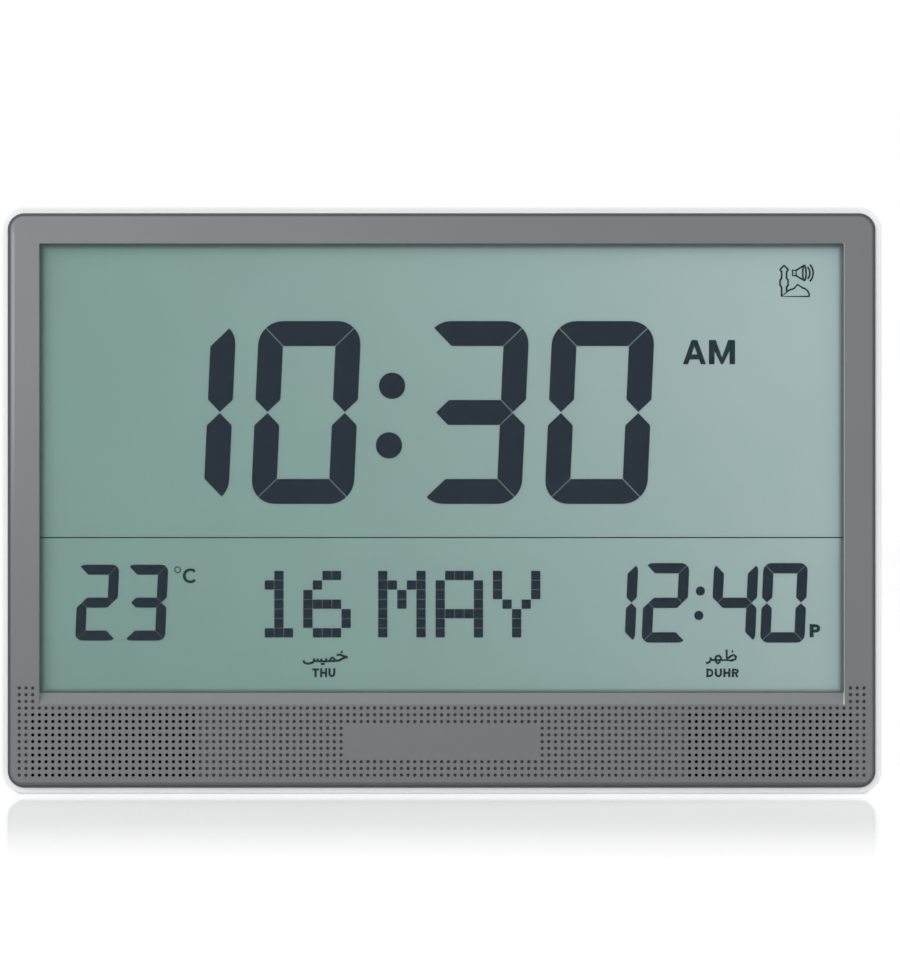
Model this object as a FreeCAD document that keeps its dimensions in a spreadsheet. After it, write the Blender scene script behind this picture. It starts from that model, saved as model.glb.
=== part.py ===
import FreeCAD, Part

import math
import os
import re

import Sketcher
from FreeCAD import Placement, Rotation, Vector

# Wall and table clock for prayer times, in millimetres.
# +X is the viewer's right, -Y the front, +Z up; the origin is the middle of the base.

document = FreeCAD.newDocument("AzanClock")
sheet = document.addObject("Spreadsheet::Sheet", "Sizes")

sizes = {
    # case
    "case_width": 366,
    "case_height": 244,
    "case_depth": 32,
    "case_corner": 9.5,
    "case_wall": 2.6,
    "back_bevel": 4,
    "rim_bevel": 0.5,
    "pan_wall": 1.8,
    # front panel and its window
    "panel_gap": 0.2,
    "panel_proud": 2.5,
    "panel_plate": 3,
    "panel_round": 2,
    "skirt_wall": 1.6,
    "skirt_depth": 8,
    "window_margin": 15.8,
    "window_low": 37.4,
    "window_top": 15.2,
    "ledge_rise": 4.6,
    # display stack
    "lens_lap": 2,
    "lens_thick": 1.5,
    "display_gap": 0.3,
    "glass_thick": 1.4,
    "contact_strip": 2,
    "film_thick": 0.4,
    "tray_gap": 0.3,
    "tray_wall": 1.4,
    "tray_floor": 2,
    "rib_wall": 1.2,
    "rib_height": 1.8,
    "rib_inset_x": 58,
    "rib_pitch": 50,
    "rib_margin": 4,
    "hook_width": 8,
    "hook_wall": 1.4,
    "hook_gap": 0.2,
    "hook_bite": 1,
    "hook_inset": 73,
    "hook_inner": 33,
    "hook_below": 55,
    # speaker grille and speakers
    "hole_radius": 0.95,
    "hole_pitch_x": 2.786,
    "hole_pitch_z": 2.8,
    "speaker_inset": 46.5,
    "speaker_height": 20.6,
    "speaker_wide": 74,
    "speaker_tall": 30,
    "speaker_edge": 4,
    "gasket_thick": 1,
    "gasket_edge": 2.5,
    "flange_thick": 1,
    "surround_thick": 0.6,
    "surround_edge": 3,
    "surround_gap": 0.5,
    "cone_lap": 0.5,
    "cone_wall": 0.6,
    "cone_depth": 4.5,
    "basket_wall": 0.8,
    "basket_depth": 6.5,
    "basket_slope": 3,
    "cone_slope": 3.8,
    "magnet_wide": 28,
    "magnet_tall": 12,
    "magnet_thick": 5,
    "magnet_bevel": 1.5,
    "fence_gap": 0.2,
    "fence_wall": 1,
    "fence_height": 4,
    # case bosses and screws
    "boss_inset": 8.2,
    "boss_low": 48,
    "boss_top": 12,
    "boss_radius": 4.6,
    "boss_seam": 9,
    "post_radius": 3.2,
    "screw_radius": 1.4,
    "screw_head": 2.9,
    "screw_play": 0.3,
    "screw_bite": 0.05,
    "screw_length": 14,
    "head_thick": 2,
    "well_depth": 10,
    # main board
    "board_wide": 106,
    "board_low": 48,
    "board_high": 106,
    "board_thick": 1.6,
    "board_post": 2.5,
    "board_inset": 5,
    "small_screw": 1,
    "small_head": 1.9,
    "small_head_thick": 1.2,
    "board_hole_play": 0.1,
    "clock_chip_in": 32,
    "clock_chip_up": 28,
    "clock_chip_size": 14,
    "sound_chip_in": 76,
    "sound_chip_up": 38,
    "sound_chip_wide": 18,
    "sound_chip_tall": 8,
    "chip_thick": 1.8,
    "crystal_up": 46,
    "crystal_wide": 11,
    "crystal_tall": 4.6,
    "crystal_thick": 3.6,
    "capacitor_in": 68,
    "capacitor_up": 16,
    "capacitor_pitch": 10,
    "capacitor_radius": 3.15,
    "capacitor_length": 7,
    "bead_size": 2.4,
    "bead_leg": 5,
    "bead_wire": 0.4,
    "ribbon_width": 40,
    "ribbon_place": -8,
    "ribbon_loop": 1.2,
    "ribbon_thick": 0.25,
    "ribbon_lap": 3,
    "lead_wide": 2.4,
    "lead_thick": 1.2,
    "lead_inset": 12,
    "lead_lap": 6,
    "key_ribbon_wide": 5.4,
    "key_ribbon_drop": 3,
    "key_ribbon_inset": 1,
    # fold-out stand
    "stand_width": 60,
    "stand_length": 92,
    "stand_thick": 4.5,
    "stand_skin": 1.6,
    "stand_pivot": 114,
    "stand_gap": 0.35,
    "stand_sink": 0.3,
    "stand_under": 0.6,
    "stand_angle": 40,
    "stand_corner": 8,
    "stand_web": 2.4,
    "heel_play": 0.05,
    "pin_radius": 1.75,
    "pin_play": 0.08,
    "pin_reach": 1.7,
    "pad_width": 24,
    "pad_height": 5,
    "pad_thick": 1,
    "pad_proud": 0.25,
    "pad_play": 0.05,
    "notch_width": 24,
    "notch_height": 9,
    # battery bay and door
    "cell_length": 49.2,
    "cell_diameter": 14.5,
    "cell_nub": 1.3,
    "cell_nub_radius": 2.75,
    "cell_pitch": 15,
    "cell_play": 0.2,
    "contact_room": 2.6,
    "contact_thick": 0.4,
    "contact_wide": 10,
    "bay_inset": 83,
    "bay_height": 124,
    "door_lap": 3,
    "door_gap": 0.3,
    "door_thick": 2.2,
    "door_sink": 0.2,
    "tab_offset": 17,
    "tab_wide": 8,
    "tab_thick": 1.8,
    "tab_reach": 2.6,
    "tab_play": 0.3,
    "tab_swing": 1.1,
    "catch_wide": 14,
    "catch_thick": 1.2,
    "catch_reach": 2.8,
    "finger_width": 18,
    "finger_height": 8,
    "finger_depth": 5,
    # rear keys and switch
    "keypad_inset": 79,
    "keypad_height": 124,
    "keypad_wide": 42,
    "keypad_tall": 74,
    "keypad_sink": 1.4,
    "key_wide": 11,
    "key_tall": 6.5,
    "key_gap": 0.3,
    "key_sink": 0.4,
    "key_bevel": 0.6,
    "key_travel": 0.8,
    "key_flange": 1,
    "key_pitch_x": 18,
    "key_pitch_z": 12,
    "key_play": 0.1,
    "mat_dome": 1.8,
    "mat_thick": 1,
    "mat_margin": 2,
    "switch_wide": 9,
    "switch_tall": 4,
    "switch_travel": 2.5,
    "knob_wide": 3.4,
    "knob_tall": 2.6,
    "slot_gap": 0.4,
    "knob_play": 0.05,
    # wall hangers and vents
    "hanger_inset": 73,
    "hanger_drop": 42,
    "hanger_radius": 4.75,
    "hanger_slot": 2.5,
    "hanger_rise": 8,
    "vent_wide": 14,
    "vent_tall": 1.6,
    "vent_pitch": 3.6,
    "vent_height": 62,
}

for row, (name, value) in enumerate(sizes.items(), start=1):
    sheet.set(f"A{row}", name)
    sheet.set(f"B{row}", str(value))
    sheet.setAlias(f"B{row}", name)
document.recompute()

# Places that follow from the sizes; an expression may name them like a size.
derived = {
    "window_width": "(case_width - 2*window_margin)",
    "window_high": "(case_height - window_top)",
    "hook_offset": "(case_width/2 - hook_inset)",
    "rib_offset": "(case_width/2 - rib_inset_x)",
    "speaker_offset": "(case_width/2 - speaker_inset)",
    "boss_offset": "(case_width/2 - boss_inset)",
    "boss_high": "(case_height - boss_top)",
    "keypad_place": "(keypad_inset - case_width/2)",
    "bay_place": "(case_width/2 - bay_inset)",
    "hanger_offset": "(case_width/2 - hanger_inset)",
    "hanger_height": "(case_height - hanger_drop)",
    "bay_wide": "(cell_length + cell_nub + 2*contact_room)",
    "pan_left": "(bay_place - bay_wide/2 - door_lap - pan_wall)",
    "keypad_right": "(keypad_place + keypad_wide/2)",
    "board_left": "((keypad_right + pan_left - board_wide)/2)",
    "board_right": "((keypad_right + pan_left + board_wide)/2)",
}

grilleColumns = 25
grilleRows = 10
cellCount = 3
ventCount = 5
standCells = 3
roundSides = 8  # small round things that repeat, such as bosses and screws
cellSides = 16
sides = {"left": "-1", "right": "1"}
nodes = []


# ---- working with the sheet: a size is an expression in the aliases ----


def formula(text):
    """The expression with each place worked out and each alias read from the sheet."""

    def value(match):
        name = match.group()
        return formula(derived[name]) if name in derived else f"Sizes.{name}"

    return re.sub(r"\b[a-z]+_[a-z_]+\b", value, str(text))


def amount(text):
    """The number that an expression gives now."""
    return float(sheet.evalExpression(formula(text)))


def middleOut(middle, width):
    """Low and high end of a width laid out about its middle."""
    return f"({middle}) - ({width})/2", f"({middle}) + ({width})/2"


def grown(ends, by):
    """Low and high end moved apart by a margin at each end."""
    return f"({ends[0]}) - ({by})", f"({ends[1]}) + ({by})"


def spanning(places):
    """The lowest and the highest of several places."""
    listed = "; ".join(places)
    return f"min({listed})", f"max({listed})"


# ---- bodies, sketches and features ----


def newBody(name):
    body = document.addObject("PartDesign::Body", name)
    body.Label = name
    nodes.append(body)
    return body


def sketchOn(body, name, role, offset):
    """A sketch parallel to an origin plane of its own body, moved along the plane's normal."""
    plane = next(f for f in body.Origin.OriginFeatures if f.Role == role)
    sketch = body.newObject("Sketcher::SketchObject", name)
    sketch.AttachmentSupport = (plane, [""])
    sketch.MapMode = "FlatFace"
    sketch.setExpression("AttachmentOffset.Base.z", formula(offset))
    return sketch


def frontSketch(body, name, y):
    """Sketch facing the viewer at depth y: sketch x is X, sketch y is Z."""
    return sketchOn(body, name, "XZ_Plane", f"-({y})")


def sideSketch(body, name):
    """Sketch in the middle plane seen from the right: sketch x is Y, sketch y is Z."""
    return sketchOn(body, name, "YZ_Plane", "0")


def bind(sketch, constraint, expression):
    index = sketch.addConstraint(constraint)
    sketch.setExpression(f"Constraints[{index}]", formula(expression))


def drawBlock(sketch, across, upright, corner=None):
    """A rectangle between two pairs of expressions, with round corners if a radius is given."""
    x0, x1 = (amount(e) for e in across)
    y0, y1 = (amount(e) for e in upright)
    r = amount(corner) if corner else 0
    ends = [
        ((x0 + r, y0), (x1 - r, y0)),
        ((x1, y0 + r), (x1, y1 - r)),
        ((x1 - r, y1), (x0 + r, y1)),
        ((x0, y1 - r), (x0, y0 + r)),
    ]
    lines = [sketch.addGeometry(Part.LineSegment(Vector(*a, 0), Vector(*b, 0))) for a, b in ends]
    for line, direction in zip(lines, ("Horizontal", "Vertical", "Horizontal", "Vertical")):
        sketch.addConstraint(Sketcher.Constraint(direction, line))
    if corner:
        centres = [(x1 - r, y0 + r), (x1 - r, y1 - r), (x0 + r, y1 - r), (x0 + r, y0 + r)]
        for i, centre in enumerate(centres):
            circle = Part.Circle(Vector(*centre, 0), Vector(0, 0, 1), r)
            start = (i - 1) * math.pi / 2
            arc = sketch.addGeometry(Part.ArcOfCircle(circle, start, start + math.pi / 2))
            sketch.addConstraint(Sketcher.Constraint("Tangent", lines[i], 2, arc, 1))
            sketch.addConstraint(Sketcher.Constraint("Tangent", arc, 2, lines[(i + 1) % 4], 1))
            bind(sketch, Sketcher.Constraint("Radius", arc, r), corner)
    else:
        for i in range(4):
            sketch.addConstraint(Sketcher.Constraint("Coincident", lines[i], 2, lines[(i + 1) % 4], 1))
    bind(sketch, Sketcher.Constraint("DistanceX", -1, 1, lines[3], 1, x0), across[0])
    bind(sketch, Sketcher.Constraint("DistanceX", -1, 1, lines[1], 1, x1), across[1])
    bind(sketch, Sketcher.Constraint("DistanceY", -1, 1, lines[0], 1, y0), upright[0])
    bind(sketch, Sketcher.Constraint("DistanceY", -1, 1, lines[2], 1, y1), upright[1])


def drawRing(sketch, across, upright, wall):
    """A rectangular frame inside the given outline."""
    drawBlock(sketch, across, upright)
    inner = [(f"({low}) + ({wall})", f"({high}) - ({wall})") for low, high in (across, upright)]
    drawBlock(sketch, *inner)


def drawCircle(sketch, x, y, radius):
    centre = Vector(amount(x), amount(y), 0)
    circle = sketch.addGeometry(Part.Circle(centre, Vector(0, 0, 1), amount(radius)))
    bind(sketch, Sketcher.Constraint("Radius", circle, amount(radius)), radius)
    bind(sketch, Sketcher.Constraint("DistanceX", -1, 1, circle, 3, centre.x), x)
    bind(sketch, Sketcher.Constraint("DistanceY", -1, 1, circle, 3, centre.y), y)


def drawPolygon(sketch, corners):
    """A closed outline through corners given as pairs of expressions."""
    points = [Vector(amount(x), amount(y), 0) for x, y in corners]
    count = len(points)
    lines = [
        sketch.addGeometry(Part.LineSegment(points[i], points[(i + 1) % count])) for i in range(count)
    ]
    for i in range(count):
        sketch.addConstraint(Sketcher.Constraint("Coincident", lines[i], 2, lines[(i + 1) % count], 1))
        bind(sketch, Sketcher.Constraint("DistanceX", -1, 1, lines[i], 1, points[i].x), corners[i][0])
        bind(sketch, Sketcher.Constraint("DistanceY", -1, 1, lines[i], 1, points[i].y), corners[i][1])


def drawFacets(sketch, x, y, radius):
    """A polygon that stands for a small circle, to keep the faces of repeated things few."""
    turns = [360 * i / roundSides for i in range(roundSides)]
    corners = [(f"({x}) + cos({turn})*({radius})", f"({y}) + sin({turn})*({radius})") for turn in turns]
    drawPolygon(sketch, corners)


def addFeature(body, kind, sketch, length, reverse, both):
    feature = body.newObject(f"PartDesign::{kind}", f"{kind}_{sketch.Name}")
    feature.Profile = sketch
    feature.setExpression("Length", formula(length))
    feature.Reversed = reverse
    feature.Midplane = both
    sketch.Visibility = False
    before = body.Shape.Volume if not body.Shape.isNull() else 0
    document.recompute()
    grown = feature.Shape.Volume - before
    if (grown <= 0) == (kind == "Pad"):
        raise ValueError(f"{feature.Name} changed the volume by {grown}")
    return feature


def pad(body, sketch, length):
    """Material from the sketch towards the back, +Y."""
    return addFeature(body, "Pad", sketch, length, True, False)


def pocket(body, sketch, length):
    """A cut from the sketch towards the back, +Y."""
    return addFeature(body, "Pocket", sketch, length, False, False)


def padAcross(body, sketch, width):
    """Material to both sides of the middle plane, along X."""
    return addFeature(body, "Pad", sketch, width, False, True)


def pocketAcross(body, sketch, width):
    return addFeature(body, "Pocket", sketch, width, False, True)


def edgesWhere(feature, test):
    return [f"Edge{i}" for i, edge in enumerate(feature.Shape.Edges, 1) if test(edge)]


def atDepth(y):
    """Test for edges that lie flat at depth y."""
    place = amount(y)
    return lambda edge: edge.BoundBox.YLength < 1e-6 and abs(edge.BoundBox.YMin - place) < 1e-6


def dress(body, kind, feature, edges, size):
    """Fillet or chamfer on edges of the last feature."""
    result = body.newObject(f"PartDesign::{kind}", f"{kind}_{feature.Name}")
    result.Base = (feature, edges)
    result.setExpression("Radius" if kind == "Fillet" else "Size", formula(size))
    document.recompute()
    return result


# ---- plain solids ----


def makeBox(name, x, y, z):
    """A box between three pairs of expressions."""
    piece = document.addObject("Part::Box", name)
    for key, place, (low, high) in zip(("Length", "Width", "Height"), "xyz", (x, y, z)):
        piece.setExpression(key, formula(f"({high}) - ({low})"))
        piece.setExpression(f"Placement.Base.{place}", formula(low))
    return piece


def makeRod(name, radius, x, y, z, count=roundSides):
    """A many-sided rod along the one direction that is given as a pair of expressions."""
    piece = document.addObject("Part::Prism", name)
    turns = {0: Rotation(Vector(0, 1, 0), 90), 1: Rotation(Vector(1, 0, 0), -90), 2: Rotation()}
    way = next(i for i, place in enumerate((x, y, z)) if isinstance(place, tuple))
    piece.Placement = Placement(Vector(), turns[way])
    piece.Polygon = count
    piece.setExpression("Circumradius", formula(radius))
    for axis, place in zip("xyz", (x, y, z)):
        low = place[0] if isinstance(place, tuple) else place
        piece.setExpression(f"Placement.Base.{axis}", formula(low))
    low, high = (x, y, z)[way]
    piece.setExpression("Height", formula(f"({high}) - ({low})"))
    return piece


def makeTaper(name, wide, narrow, y):
    """A block that narrows towards the back, between two outlines given as pairs for x and z."""
    piece = document.addObject("Part::Wedge", name)
    values = dict(zip(("Xmin", "Xmax", "Zmin", "Zmax"), wide[0] + wide[1]))
    values.update(zip(("X2min", "X2max", "Z2min", "Z2max"), narrow[0] + narrow[1]))
    values.update(zip(("Ymin", "Ymax"), y))
    for key, value in values.items():
        setattr(piece, key, amount(value))
    for key, value in values.items():
        piece.setExpression(key, formula(value))
    return piece


def joinSolids(name, pieces):
    joined = document.addObject("Part::MultiFuse", name)
    joined.Shapes = pieces
    return joined


def group(name, pieces):
    """Several separate solids in one sub-part."""
    together = document.addObject("Part::Compound", name)
    together.Links = pieces
    return together


def keep(piece, name):
    piece.Label = name
    nodes.append(piece)
    return piece


# ---- places along the depth, front to back ----

front = "(-case_depth/2)"
back = "(case_depth/2)"
rimFront = f"({front} + panel_proud)"
backInside = f"({back} - case_wall)"
plateBack = f"({front} + panel_plate)"
skirtEnd = f"({front} + skirt_depth)"
lensBack = f"({plateBack} + lens_thick)"
glassFront = f"({lensBack} + display_gap)"
glassMiddle = f"({glassFront} + glass_thick)"
glassBack = f"({glassMiddle} + glass_thick)"
filmBack = f"({glassBack} + film_thick)"
trayBack = f"({filmBack} + tray_floor)"
boardFront = f"({trayBack} + board_post)"
boardBack = f"({boardFront} + board_thick)"
seam = f"({plateBack} + boss_seam)"

# ---- outlines shared by several pieces ----

caseX = ("-case_width/2", "case_width/2")
caseZ = ("0", "case_height")
panelX = grown(caseX, "-(case_wall + panel_gap)")
panelZ = grown(caseZ, "-(case_wall + panel_gap)")
panelCorner = "case_corner - case_wall - panel_gap"
ledgeTop = "(window_low + ledge_rise)"
lensX = grown(("-window_width/2", "window_width/2"), "lens_lap")
lensZ = grown((ledgeTop, "window_high"), "lens_lap")
trayX = grown(lensX, "tray_gap + tray_wall")
trayZ = grown(lensZ, "tray_gap + tray_wall")
screwKinds = {
    "case": ("screw_radius", "screw_head", "head_thick"),
    "small": ("small_screw", "small_head", "small_head_thick"),
}
bossPlaces = [(f"{side}*boss_offset", z) for side in sides.values() for z in ("boss_low", "boss_high")]

standPivotY = f"({back} - stand_sink - stand_thick/2)"
standFront = f"({back} - stand_sink - stand_thick)"
recessFloor = f"({standFront} - stand_under)"
heel = "((stand_thick/2*(1 - cos(stand_angle)) + stand_under - heel_play)/sin(stand_angle))"
recessTop = f"(stand_pivot + sqrt((stand_thick/2)^2 + {heel}^2) + stand_gap)"
standFoot = "(stand_pivot - stand_length)"
recessX = middleOut("0", "stand_width + 2*stand_gap")
recessZ = (f"{standFoot} - stand_gap", recessTop)
notchX = middleOut("0", "notch_width")
notchZ = (f"{standFoot} - stand_gap - notch_height", f"{standFoot}")

bayTall = f"({cellCount - 1}*cell_pitch + cell_diameter + 2*cell_play)"
bayX = middleOut("bay_place", "bay_wide")
bayZ = middleOut("bay_height", bayTall)
cellY = f"({backInside} - cell_play - cell_diameter/2)"
bayFloor = f"({cellY} - cell_diameter/2 - cell_play)"
seatX = grown(bayX, "door_lap")
seatZ = grown(bayZ, "door_lap")
doorX = grown(seatX, "-door_gap")
doorZ = grown(seatZ, "-door_gap")
doorBack = f"({back} - door_sink)"
doorFront = f"({doorBack} - door_thick)"
tabBack = f"({backInside} - tab_play)"
tabFront = f"({tabBack} - tab_thick)"
tabPlaces = [f"bay_place {way} tab_offset" for way in "-+"]
fingerX = middleOut("bay_place", "finger_width")
fingerZ = (f"{doorZ[1]} - catch_thick", f"{seatZ[1]} + finger_height")

keypadX = middleOut("keypad_place", "keypad_wide")
keypadZ = middleOut("keypad_height", "keypad_tall")
keypadFloor = f"({back} - keypad_sink)"
flangeBack = f"({backInside} - key_play)"
flangeFront = f"({flangeBack} - key_flange)"
domeBack = f"({flangeFront} - key_play)"
matBack = f"({domeBack} - mat_dome)"
matFront = f"({matBack} - mat_thick)"
keyBoardFront = f"({matFront} - board_thick)"
keyNames = [
    ["set_key", "mode_key"],
    ["city_key", "prayer_key"],
    ["alarm_key", "volume_key"],
    ["up_key", "down_key"],
]
keyPlaces = {
    name: (f"keypad_place + {column - 0.5}*key_pitch_x", f"keypad_height + {2 - row}*key_pitch_z")
    for row, names in enumerate(keyNames)
    for column, name in enumerate(names)
}
switchPlace = ("keypad_place", "keypad_height - 2*key_pitch_z")
keyBoardReach = "(2*key_pitch_z + post_radius + switch_tall)"
keyScrewPlaces = [("keypad_place", f"keypad_height {way} {keyBoardReach}") for way in "-+"]
keyBoardLow = f"({keyScrewPlaces[0][1]} - post_radius)"
keyBoardHigh = f"({keyScrewPlaces[1][1]} + post_radius)"


def speakerBox(side, inset):
    """Outline of a speaker, moved in by inset on all four sides."""
    x = middleOut(f"{side}*speaker_offset", f"speaker_wide - 2*({inset})")
    z = middleOut("speaker_height", f"speaker_tall - 2*({inset})")
    return x, z


# ---- casings ----


def makeRearHousing():
    """White shell whose edge frames the front panel, with pans for the stand and the cells."""
    body = newBody("rear_housing")
    outline = frontSketch(body, "caseOutline", rimFront)
    drawBlock(outline, caseX, caseZ, "case_corner")
    block = pad(body, outline, f"{back} - {rimFront}")
    bevelled = dress(body, "Chamfer", block, edgesWhere(block, atDepth(back)), "back_bevel")
    dress(body, "Chamfer", bevelled, edgesWhere(bevelled, atDepth(rimFront)), "rim_bevel")
    hollow = frontSketch(body, "caseHollow", rimFront)
    inside = [grown(ends, "-case_wall") for ends in (caseX, caseZ)]
    drawBlock(hollow, *inside, "case_corner - case_wall")
    pocket(body, hollow, f"{backInside} - {rimFront}")

    bosses = frontSketch(body, "bosses", seam)
    for x, z in bossPlaces:
        drawFacets(bosses, x, z, "boss_radius")
    pad(body, bosses, f"{backInside} - {seam}")
    standPan = frontSketch(body, "standPan", f"{recessFloor} - pan_wall")
    panX = grown(recessX, "pin_reach + pan_wall")
    panZ = (f"{notchZ[0]} - pan_wall", f"{recessZ[1]} + pan_wall")
    drawBlock(standPan, panX, panZ)
    pad(body, standPan, f"{backInside} - ({recessFloor} - pan_wall)")
    bayPan = frontSketch(body, "bayPan", f"{bayFloor} - pan_wall")
    drawBlock(bayPan, *(grown(ends, "pan_wall") for ends in (seatX, bayZ)))
    pad(body, bayPan, f"{backInside} - ({bayFloor} - pan_wall)")
    doorRim = frontSketch(body, "doorRim", f"{backInside} - finger_depth")
    rimZ = (f"{seatZ[0]} - pan_wall", f"{fingerZ[1]} + pan_wall")
    drawBlock(doorRim, grown(seatX, "pan_wall"), rimZ)
    pad(body, doorRim, "finger_depth")
    boardPosts = frontSketch(body, "keyBoardPosts", matFront)
    for x, z in keyScrewPlaces:
        drawFacets(boardPosts, x, z, "post_radius")
    pad(body, boardPosts, f"{backInside} - {matFront}")
    boardBores = frontSketch(body, "keyBoardBores", matFront)
    for x, z in keyScrewPlaces:
        drawFacets(boardBores, x, z, "small_screw + screw_bite")
    pocket(body, boardBores, "board_post")

    stand = frontSketch(body, "standRecess", recessFloor)
    drawBlock(stand, recessX, recessZ)
    pocket(body, stand, f"{back} - {recessFloor}")
    notch = frontSketch(body, "standNotch", recessFloor)
    drawBlock(notch, notchX, notchZ)
    pocket(body, notch, f"{back} - {recessFloor}")
    pinHoles = sideSketch(body, "pinHoles")
    drawCircle(pinHoles, standPivotY, "stand_pivot", "pin_radius + pin_play")
    pocketAcross(body, pinHoles, "stand_width + 2*stand_gap + 2*pin_reach")

    bay = frontSketch(body, "batteryBay", bayFloor)
    drawBlock(bay, bayX, bayZ)
    pocket(body, bay, f"{back} - {bayFloor}")
    seat = frontSketch(body, "doorSeat", backInside)
    drawBlock(seat, seatX, seatZ)
    pocket(body, seat, "case_wall")
    finger = frontSketch(body, "doorFinger", f"{back} - finger_depth")
    drawBlock(finger, fingerX, fingerZ)
    pocket(body, finger, "finger_depth")
    slots = frontSketch(body, "tabSlots", f"{tabFront} - tab_swing")
    for place in tabPlaces:
        slotX = middleOut(place, "tab_wide + 2*door_gap")
        drawBlock(slots, slotX, (f"{seatZ[0]} - tab_reach - tab_swing", f"{bayZ[0]} + cell_play"))
    pocket(body, slots, f"{backInside} - ({tabFront} - tab_swing)")

    keypad = frontSketch(body, "keypadRecess", keypadFloor)
    drawBlock(keypad, keypadX, keypadZ)
    pocket(body, keypad, "keypad_sink")
    wells = frontSketch(body, "keyWells", backInside)
    for x, z in keyPlaces.values():
        drawBlock(wells, middleOut(x, "key_wide + 2*key_gap"), middleOut(z, "key_tall + 2*key_gap"))
    slotWide = "knob_wide + switch_travel + 2*slot_gap"
    drawBlock(wells, middleOut(switchPlace[0], slotWide), middleOut(switchPlace[1], "knob_tall + 2*slot_gap"))
    pocket(body, wells, "case_wall")

    screwWells = frontSketch(body, "screwWells", f"{back} - well_depth")
    screwHoles = frontSketch(body, "screwHoles", seam)
    for x, z in bossPlaces:
        drawFacets(screwWells, x, z, "screw_head + screw_play")
        drawFacets(screwHoles, x, z, "screw_radius + screw_play")
    pocket(body, screwWells, "well_depth")
    pocket(body, screwHoles, f"{back} - {seam}")

    hangers = frontSketch(body, "hangerHoles", backInside)
    necks = frontSketch(body, "hangerNecks", backInside)
    for side in sides.values():
        drawCircle(hangers, f"{side}*hanger_offset", "hanger_height", "hanger_radius")
        neckX = middleOut(f"{side}*hanger_offset", "2*hanger_slot")
        drawBlock(necks, neckX, ("hanger_height", "hanger_height + hanger_radius + hanger_rise"))
    pocket(body, hangers, "case_wall")
    pocket(body, necks, "case_wall")

    vents = frontSketch(body, "ventSlots", backInside)
    for i in range(ventCount):
        ventZ = middleOut(f"vent_height - {i}*vent_pitch", "vent_tall")
        drawBlock(vents, middleOut("keypad_place", "vent_wide"), ventZ)
    pocket(body, vents, "case_wall")


def makeFrontPanel():
    """Grey panel: window with a sloped ledge, and the perforation in front of each speaker."""
    body = document.addObject("PartDesign::Body", "panelMoulding")
    outline = frontSketch(body, "panelOutline", front)
    drawBlock(outline, panelX, panelZ, panelCorner)
    block = pad(body, outline, "skirt_depth")
    dress(body, "Fillet", block, edgesWhere(block, atDepth(front)), "panel_round")
    hollow = frontSketch(body, "skirtHollow", plateBack)
    inside = [grown(ends, "-skirt_wall") for ends in (panelX, panelZ)]
    drawBlock(hollow, *inside, f"{panelCorner} - skirt_wall")
    pocket(body, hollow, f"{skirtEnd} - {plateBack}")

    posts = frontSketch(body, "casePosts", plateBack)
    for x, z in bossPlaces:
        drawFacets(posts, x, z, "post_radius")
    pad(body, posts, f"{seam} - {plateBack}")
    fences = frontSketch(body, "speakerFences", plateBack)
    for side in sides.values():
        drawRing(fences, *speakerBox(side, "-fence_gap - fence_wall"), "fence_wall")
    pad(body, fences, "fence_height")
    legs = frontSketch(body, "hookLegs", plateBack)
    barbs = frontSketch(body, "hookBarbs", f"{trayBack} + hook_gap")
    for x, (edge, way) in hookPlaces():
        hookX = middleOut(x, "hook_width")
        inner = f"{edge} {way} hook_gap"
        outer = f"{inner} {way} hook_wall"
        bite = f"{edge} {'-' if way == '+' else '+'} hook_bite"
        drawBlock(legs, hookX, (inner, outer) if way == "+" else (outer, inner))
        drawBlock(barbs, hookX, (bite, outer) if way == "+" else (outer, bite))
    pad(body, legs, f"{trayBack} + hook_gap - {plateBack}")
    pad(body, barbs, "hook_wall")

    window = sideSketch(body, "windowProfile")
    corners = [
        (front, "window_low"),
        (plateBack, ledgeTop),
        (plateBack, "window_high"),
        (front, "window_high"),
    ]
    drawPolygon(window, corners)
    pocketAcross(body, window, "window_width")
    bores = frontSketch(body, "postBores", plateBack)
    for x, z in bossPlaces:
        drawFacets(bores, x, z, "screw_radius + screw_bite")
    pocket(body, bores, f"{seam} - {plateBack}")

    panel = document.addObject("Part::Feature", "front_panel")
    panel.Shape = body.Shape.cut(Part.makeCompound(grilleHoles()))
    keep(panel, "front_panel")


def hookPlaces():
    """Places of the hooks that hold the display tray: four above it, two below."""
    above = (trayZ[1], "+")
    below = (trayZ[0], "-")
    top = [(place, above) for place in ("-hook_offset", "-hook_inner", "hook_inner", "hook_offset")]
    return top + [(place, below) for place in ("-hook_below", "hook_below")]


def grilleHoles():
    """Through-holes over the speakers; each has three sides, which keeps the faces of 500 holes few."""
    pitchX = amount("hole_pitch_x")
    pitchZ = amount("hole_pitch_z")
    start = amount(front)
    through = Vector(0, amount("panel_plate"), 0)
    turns = [math.radians(angle) for angle in (90, 210, 330, 450)]
    corner = [amount("hole_radius") * Vector(math.cos(turn), 0, math.sin(turn)) for turn in turns]
    holes = []
    for side in sides.values():
        for column in range(grilleColumns):
            for row in range(grilleRows):
                x = amount(f"{side}*speaker_offset") + (column - (grilleColumns - 1) / 2) * pitchX
                z = amount("speaker_height") + (row - (grilleRows - 1) / 2) * pitchZ
                outline = Part.makePolygon([Vector(x, start, z) + point for point in corner])
                holes.append(Part.Face(outline).extrude(through))
    return holes


# ---- display ----


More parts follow.
